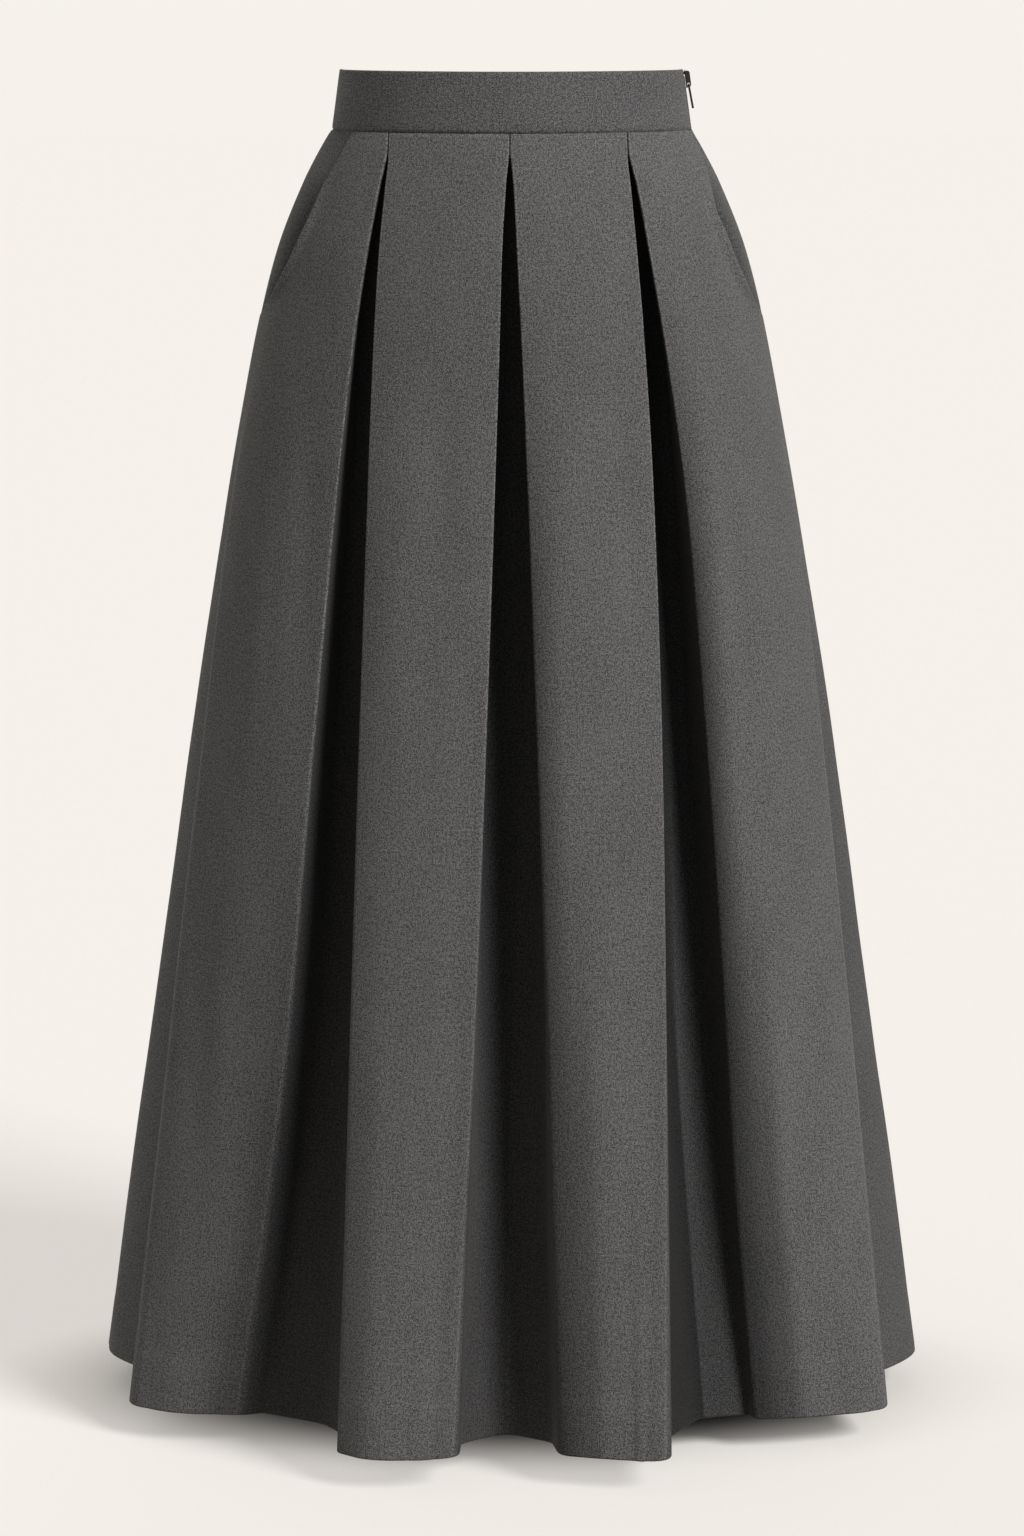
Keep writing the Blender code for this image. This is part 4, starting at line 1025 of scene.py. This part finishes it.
def makeSuitingWeave(s):
    group = bpy.data.node_groups.new("suitingWeaveAndPaintedLight", "ShaderNodeTree")
    for name, kind, value in (
            ("Cloth", "Vector", None), ("Dark Fibre", "Color", (0.04, 0.04, 0.04, 1)),
            ("Light Fibre", "Color", (0.2, 0.2, 0.2, 1)), ("Edge Distance", "Float", 0.02),
            ("Painted Shade", "Float", 0.0)):
        socket(group, name, "NodeSocket" + kind, value=value)
    for name, kind in (("Color", "Color"), ("Height", "Float"), ("Roughness", "Float")):
        socket(group, name, "NodeSocket" + kind, "OUTPUT")
    start = node(group, "NodeGroupInput")
    end = node(group, "NodeGroupOutput")
    links = group.links

    def stretched(scaleU, scaleV, detail, roughness):
        placing = node(group, "ShaderNodeMapping")
        setInputs(placing, {"Scale": (scaleU, scaleV, 1.0)})
        links.new(start.outputs["Cloth"], placing.inputs["Vector"])
        cloud = node(group, "ShaderNodeTexNoise", noise_dimensions="2D")
        setInputs(cloud, {"Scale": 1.0, "Detail": detail, "Roughness": roughness})
        links.new(placing.outputs["Vector"], cloud.inputs["Vector"])
        return cloud.outputs[0]

    total = 0.5  # half dark and half light before the textures
    for scaleU, scaleV, detail, roughness, amount in s["textures"]:
        texture = stretched(scaleU, scaleV, detail, roughness)
        part = math2(group, "MULTIPLY", math2(group, "SUBTRACT", texture, 0.5), amount)
        total = math2(group, "ADD", total, part)
    share = math2(group, "ADD", total, 0.0, clamp=True)
    blend = node(group, "ShaderNodeMix", data_type="RGBA")
    links.new(share, blend.inputs["Factor"])
    links.new(start.outputs["Dark Fibre"], blend.inputs["A"])
    links.new(start.outputs["Light Fibre"], blend.inputs["B"])
    bright = node(group, "ShaderNodeMix", data_type="RGBA", blend_type="MULTIPLY")
    bright.inputs["Factor"].default_value = 1.0
    # painted highlight: the colour is made lighter along each pressed edge, where its rounding catches
    # the light
    line = makeRange(group, *s["edgeHighlight"], s["edgeHighlightGain"], 1.0)
    links.new(start.outputs["Edge Distance"], line.inputs["Value"])
    # painted shade: the colour is darkened in the pleats, by the side creases and beside the pocket
    # mouths
    shaded = math2(group, "SUBTRACT", 1.0, start.outputs["Painted Shade"])
    gain = math2(group, "MULTIPLY", line.outputs["Result"], shaded)
    pale = node(group, "ShaderNodeCombineColor")
    for name in ("Red", "Green", "Blue"):
        links.new(gain, pale.inputs[name])
    links.new(blend.outputs["Result"], bright.inputs["A"])
    links.new(pale.outputs["Color"], bright.inputs["B"])
    links.new(bright.outputs["Result"], end.inputs["Color"])
    threads = node(group, "ShaderNodeSeparateXYZ")
    links.new(start.outputs["Cloth"], threads.inputs["Vector"])
    wave = 2 * math.pi / s["threadRepeat"]
    warp = math2(group, "SINE", math2(group, "MULTIPLY", threads.outputs["X"], wave))
    woof = math2(group, "SINE", math2(group, "MULTIPLY", threads.outputs["Y"], wave))
    over = math2(group, "MULTIPLY", warp, woof)
    height = math2(group, "ADD", math2(group, "MULTIPLY", over, s["threadHeight"]), share)
    links.new(height, end.inputs["Height"])
    rough, change = s["roughness"]
    dull = math2(group, "ADD", math2(group, "MULTIPLY", share, change), rough)
    links.new(dull, end.inputs["Roughness"])
    return group


suitingWeaveAndPaintedLight = makeSuitingWeave(weaveSettings)
suitingSettings = {
    "darkFibre": (0.031, 0.0305, 0.031, 1),
    "lightFibre": (0.139, 0.1375, 0.140, 1),
    "bump": 0.55,
    "bumpDistance": 0.00035,
    "shine": 0.18,
    "sheen": 0.06,
    "sheenRoughness": 0.45,
    "sheenTint": (0.9, 0.88, 0.86, 1),
    # the pocket facings get a darker copy of the cloth: painted shade for lying back behind the pocket
    # mouths
    "facingShadedBrightness": 0.86,
}


def newMaterial(name):
    material = bpy.data.materials.new(name)
    material.use_nodes = True
    return material, material.node_tree, material.node_tree.nodes["Principled BSDF"]


def makeSuiting(name, s, brightness=1.0):
    material, tree, shader = newMaterial(name)
    cloth = node(tree, "ShaderNodeUVMap", uv_map="clothGrain")
    weave = node(tree, "ShaderNodeGroup")
    weave.node_tree = suitingWeaveAndPaintedLight
    for key, socketName in (("darkFibre", "Dark Fibre"), ("lightFibre", "Light Fibre")):
        colour = s[key]
        weave.inputs[socketName].default_value = [c * brightness for c in colour[:3]] + [1]
    tree.links.new(cloth.outputs["UV"], weave.inputs["Cloth"])
    # the masks that place the painted highlight and the painted shade
    for mask, socketName in (("edgeDistance", "Edge Distance"), ("paintedShade", "Painted Shade")):
        reader = node(tree, "ShaderNodeAttribute", attribute_name=mask)
        tree.links.new(reader.outputs["Fac"], weave.inputs[socketName])
    tree.links.new(weave.outputs["Color"], shader.inputs["Base Color"])
    tree.links.new(weave.outputs["Roughness"], shader.inputs["Roughness"])
    bump = node(tree, "ShaderNodeBump")
    setInputs(bump, {"Strength": s["bump"], "Distance": s["bumpDistance"]})
    tree.links.new(weave.outputs["Height"], bump.inputs["Height"])
    tree.links.new(bump.outputs["Normal"], shader.inputs["Normal"])
    setInputs(shader, {
        "Specular IOR Level": s["shine"], "Sheen Weight": s["sheen"],
        "Sheen Roughness": s["sheenRoughness"], "Sheen Tint": s["sheenTint"],
    })
    return material


suiting = makeSuiting("suiting", suitingSettings)
# a darker copy of the cloth, painted shade for the pocket facings
suitingFacing = makeSuiting("suitingPocketFacing", suitingSettings, suitingSettings["facingShadedBrightness"])


zipFinishes = {
    # colour, roughness, metallic, how much the colour varies
    "zipTapeWeave": ((0.012, 0.012, 0.013), 0.8, 0.0, 0.5),
    "zipToothBlack": ((0.016, 0.016, 0.017), 0.35, 0.0, 0.3),
    "zipBlackMetal": ((0.022, 0.0215, 0.021), 0.45, 0.35, 0.25),
}


def makeZipFinish(name):
    colour, roughness, metallic, grain = zipFinishes[name]
    material, tree, shader = newMaterial(name)
    place = node(tree, "ShaderNodeTexCoord")
    cloud = node(tree, "ShaderNodeTexNoise")
    setInputs(cloud, {"Scale": 900, "Detail": 3})
    tree.links.new(place.outputs["Object"], cloud.inputs["Vector"])
    ramp = node(tree, "ShaderNodeValToRGB")
    for stop, position, gain in zip(ramp.color_ramp.elements, (0.3, 0.75), (1 - grain, 1 + grain)):
        stop.position = position
        stop.color = [c * gain for c in colour] + [1]
    tree.links.new(cloud.outputs[0], ramp.inputs["Fac"])
    tree.links.new(ramp.outputs["Color"], shader.inputs["Base Color"])
    setInputs(shader, {"Roughness": roughness, "Metallic": metallic})
    return material


tapeCloth, toothBlack, zipMetal = (makeZipFinish(name) for name in zipFinishes)
print("materials made")


dressing = [
    # piece, CAD node that it stands for, material, material slot
    (skirtFront, "skirt_front", suiting, "suiting"),
    (skirtBack, "skirt_back", suiting, "suiting"),
    (facingRight, "pocket_facing_right", suitingFacing, "suiting"),
    (facingLeft, "pocket_facing_left", suitingFacing, "suiting"),
    (bandFront, "waistband_front", suiting, "suiting"),
    (bandBack, "waistband_back", suiting, "suiting"),
    (tapeFront, "zip_tape_front", tapeCloth, "zip_tape"),
    (tapeBack, "zip_tape_back", tapeCloth, "zip_tape"),
    (teethFront, None, toothBlack, "zip_tape"),
    (teethBack, None, toothBlack, "zip_tape"),
]
for piece, cadNode, material, slotName in dressing:
    piece.data.materials.append(material)
    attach(piece, "skirt")
    if cadNode:
        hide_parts(cadNode)
for cadNode in ("zip_slider", "zip_pull"):
    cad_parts[cadNode].data.materials.clear()
    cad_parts[cadNode].data.materials.append(zipMetal)


stageSettings = {
    "floorHeight": -0.9685,
    "floorRadius": 60,
    "floorColour": (0.620, 0.607, 0.580, 1),
    "floorGlowColour": (0.950, 0.906, 0.862, 1),
    "backdrop": (0.919, 0.888, 0.831, 1),
    "floorGlow": 0.62,
    "contactReach": (0.400, 0.215),  # half width and half depth of the shade under the hem, where the floor's painted glow fades out
    "contactCentre": 0.015,
    "contactFades": (0.56, 1.10),  # shares of that reach
    "ambient": 0.345,
    "fromBelow": 0.45,
    "belowFades": (-0.35, 0.05),  # height of the direction, from fully below to level
    "fromBehind": 2.4,
    "behindFades": (0.20, 0.85),
    "ambientColour": (1.0, 0.952, 0.885, 1),
    "leftward": 1.15,
    "sunStrength": 4.6,
    "sunColour": (1.0, 0.985, 0.965),
    "sunAngleDegrees": 22,
    "sunElevationDegrees": 38,
    "sunAzimuthDegrees": 51,
}


def makeFloor(s):
    mesh = bmesh.new()
    bmesh.ops.create_circle(mesh, cap_ends=True, segments=96, radius=s["floorRadius"])
    data = bpy.data.meshes.new("floor")
    mesh.to_mesh(data)
    mesh.free()
    floor = addObject("floor", data)
    floor.location = (0, 0, s["floorHeight"])
    material, tree, shader = newMaterial("studioFloor")
    setInputs(shader, {"Base Color": s["floorColour"], "Roughness": 0.95, "Specular IOR Level": 0.0})
    # painted light: the floor glows with the light that the whole studio would throw on it, except
    # close under the hem
    glow = node(tree, "ShaderNodeEmission")
    setInputs(glow, {"Color": s["floorGlowColour"]})
    place = node(tree, "ShaderNodeTexCoord")
    scaled = node(tree, "ShaderNodeMapping")
    width, depth = s["contactReach"]
    setInputs(scaled, {"Scale": (1 / width, 1 / depth, 0),
                       "Location": (-s["contactCentre"] / width, 0, 0)})
    reach = node(tree, "ShaderNodeVectorMath", operation="LENGTH")
    share = makeRange(tree, *s["contactFades"], 0.0, s["floorGlow"])
    both = node(tree, "ShaderNodeMixShader")
    tree.links.new(place.outputs["Object"], scaled.inputs["Vector"])
    tree.links.new(scaled.outputs["Vector"], reach.inputs[0])
    tree.links.new(reach.outputs["Value"], share.inputs["Value"])
    tree.links.new(share.outputs["Result"], both.inputs[0])
    tree.links.new(shader.outputs[0], both.inputs[1])
    tree.links.new(glow.outputs[0], both.inputs[2])
    tree.links.new(both.outputs[0], tree.nodes["Material Output"].inputs["Surface"])
    data.materials.append(material)
    floor.visible_diffuse = False  # the pale floor throws no light up into the pleats


def makeRoomLight(s):
    world = bpy.data.worlds.new("studioWorld")
    world.use_nodes = True
    tree = world.node_tree
    tree.nodes.clear()
    seen = node(tree, "ShaderNodeBackground")
    setInputs(seen, {"Color": s["backdrop"]})
    # the room's soft light comes more from the left than from the right, and more from behind
    lit = node(tree, "ShaderNodeBackground")
    setInputs(lit, {"Color": s["ambientColour"]})
    around = node(tree, "ShaderNodeTexCoord")
    sides = node(tree, "ShaderNodeSeparateXYZ")
    tree.links.new(around.outputs["Generated"], sides.inputs["Vector"])
    lean = math2(tree, "MULTIPLY", sides.outputs["X"], -s["leftward"])
    lean = math2(tree, "MAXIMUM", math2(tree, "ADD", lean, 1.0), 0.0)
    height = makeRange(tree, *s["belowFades"], s["fromBelow"], 1.0)
    behind = makeRange(tree, *s["behindFades"], 0.0, s["fromBehind"])
    for axis, turn in (("Z", height), ("Y", behind)):
        tree.links.new(sides.outputs[axis], turn.inputs["Value"])
    strength = math2(tree, "ADD", lean, behind.outputs["Result"])
    strength = math2(tree, "MULTIPLY", strength, height.outputs["Result"])
    tree.links.new(math2(tree, "MULTIPLY", strength, s["ambient"]), lit.inputs["Strength"])
    path = node(tree, "ShaderNodeLightPath")
    choose = node(tree, "ShaderNodeMixShader")
    out = node(tree, "ShaderNodeOutputWorld")
    tree.links.new(path.outputs["Is Camera Ray"], choose.inputs[0])
    tree.links.new(lit.outputs[0], choose.inputs[1])
    tree.links.new(seen.outputs[0], choose.inputs[2])
    tree.links.new(choose.outputs[0], out.inputs["Surface"])
    bpy.context.scene.world = world


def makeKeyLight(s):
    lamp = bpy.data.lights.new("keyLight", "SUN")
    lamp.energy = s["sunStrength"]
    lamp.angle = math.radians(s["sunAngleDegrees"])
    lamp.color = s["sunColour"]
    key = addObject("keyLight", lamp)
    elevation = math.radians(s["sunElevationDegrees"])
    azimuth = math.radians(s["sunAzimuthDegrees"])
    toward = Vector((math.sin(azimuth) * math.cos(elevation),
                     -math.cos(azimuth) * math.cos(elevation), math.sin(elevation)))
    key.rotation_euler = toward.to_track_quat("Z", "Y").to_euler()


makeFloor(stageSettings)
makeRoomLight(stageSettings)
makeKeyLight(stageSettings)
bpy.context.scene.view_settings.view_transform = "Standard"
print("stage and light made")
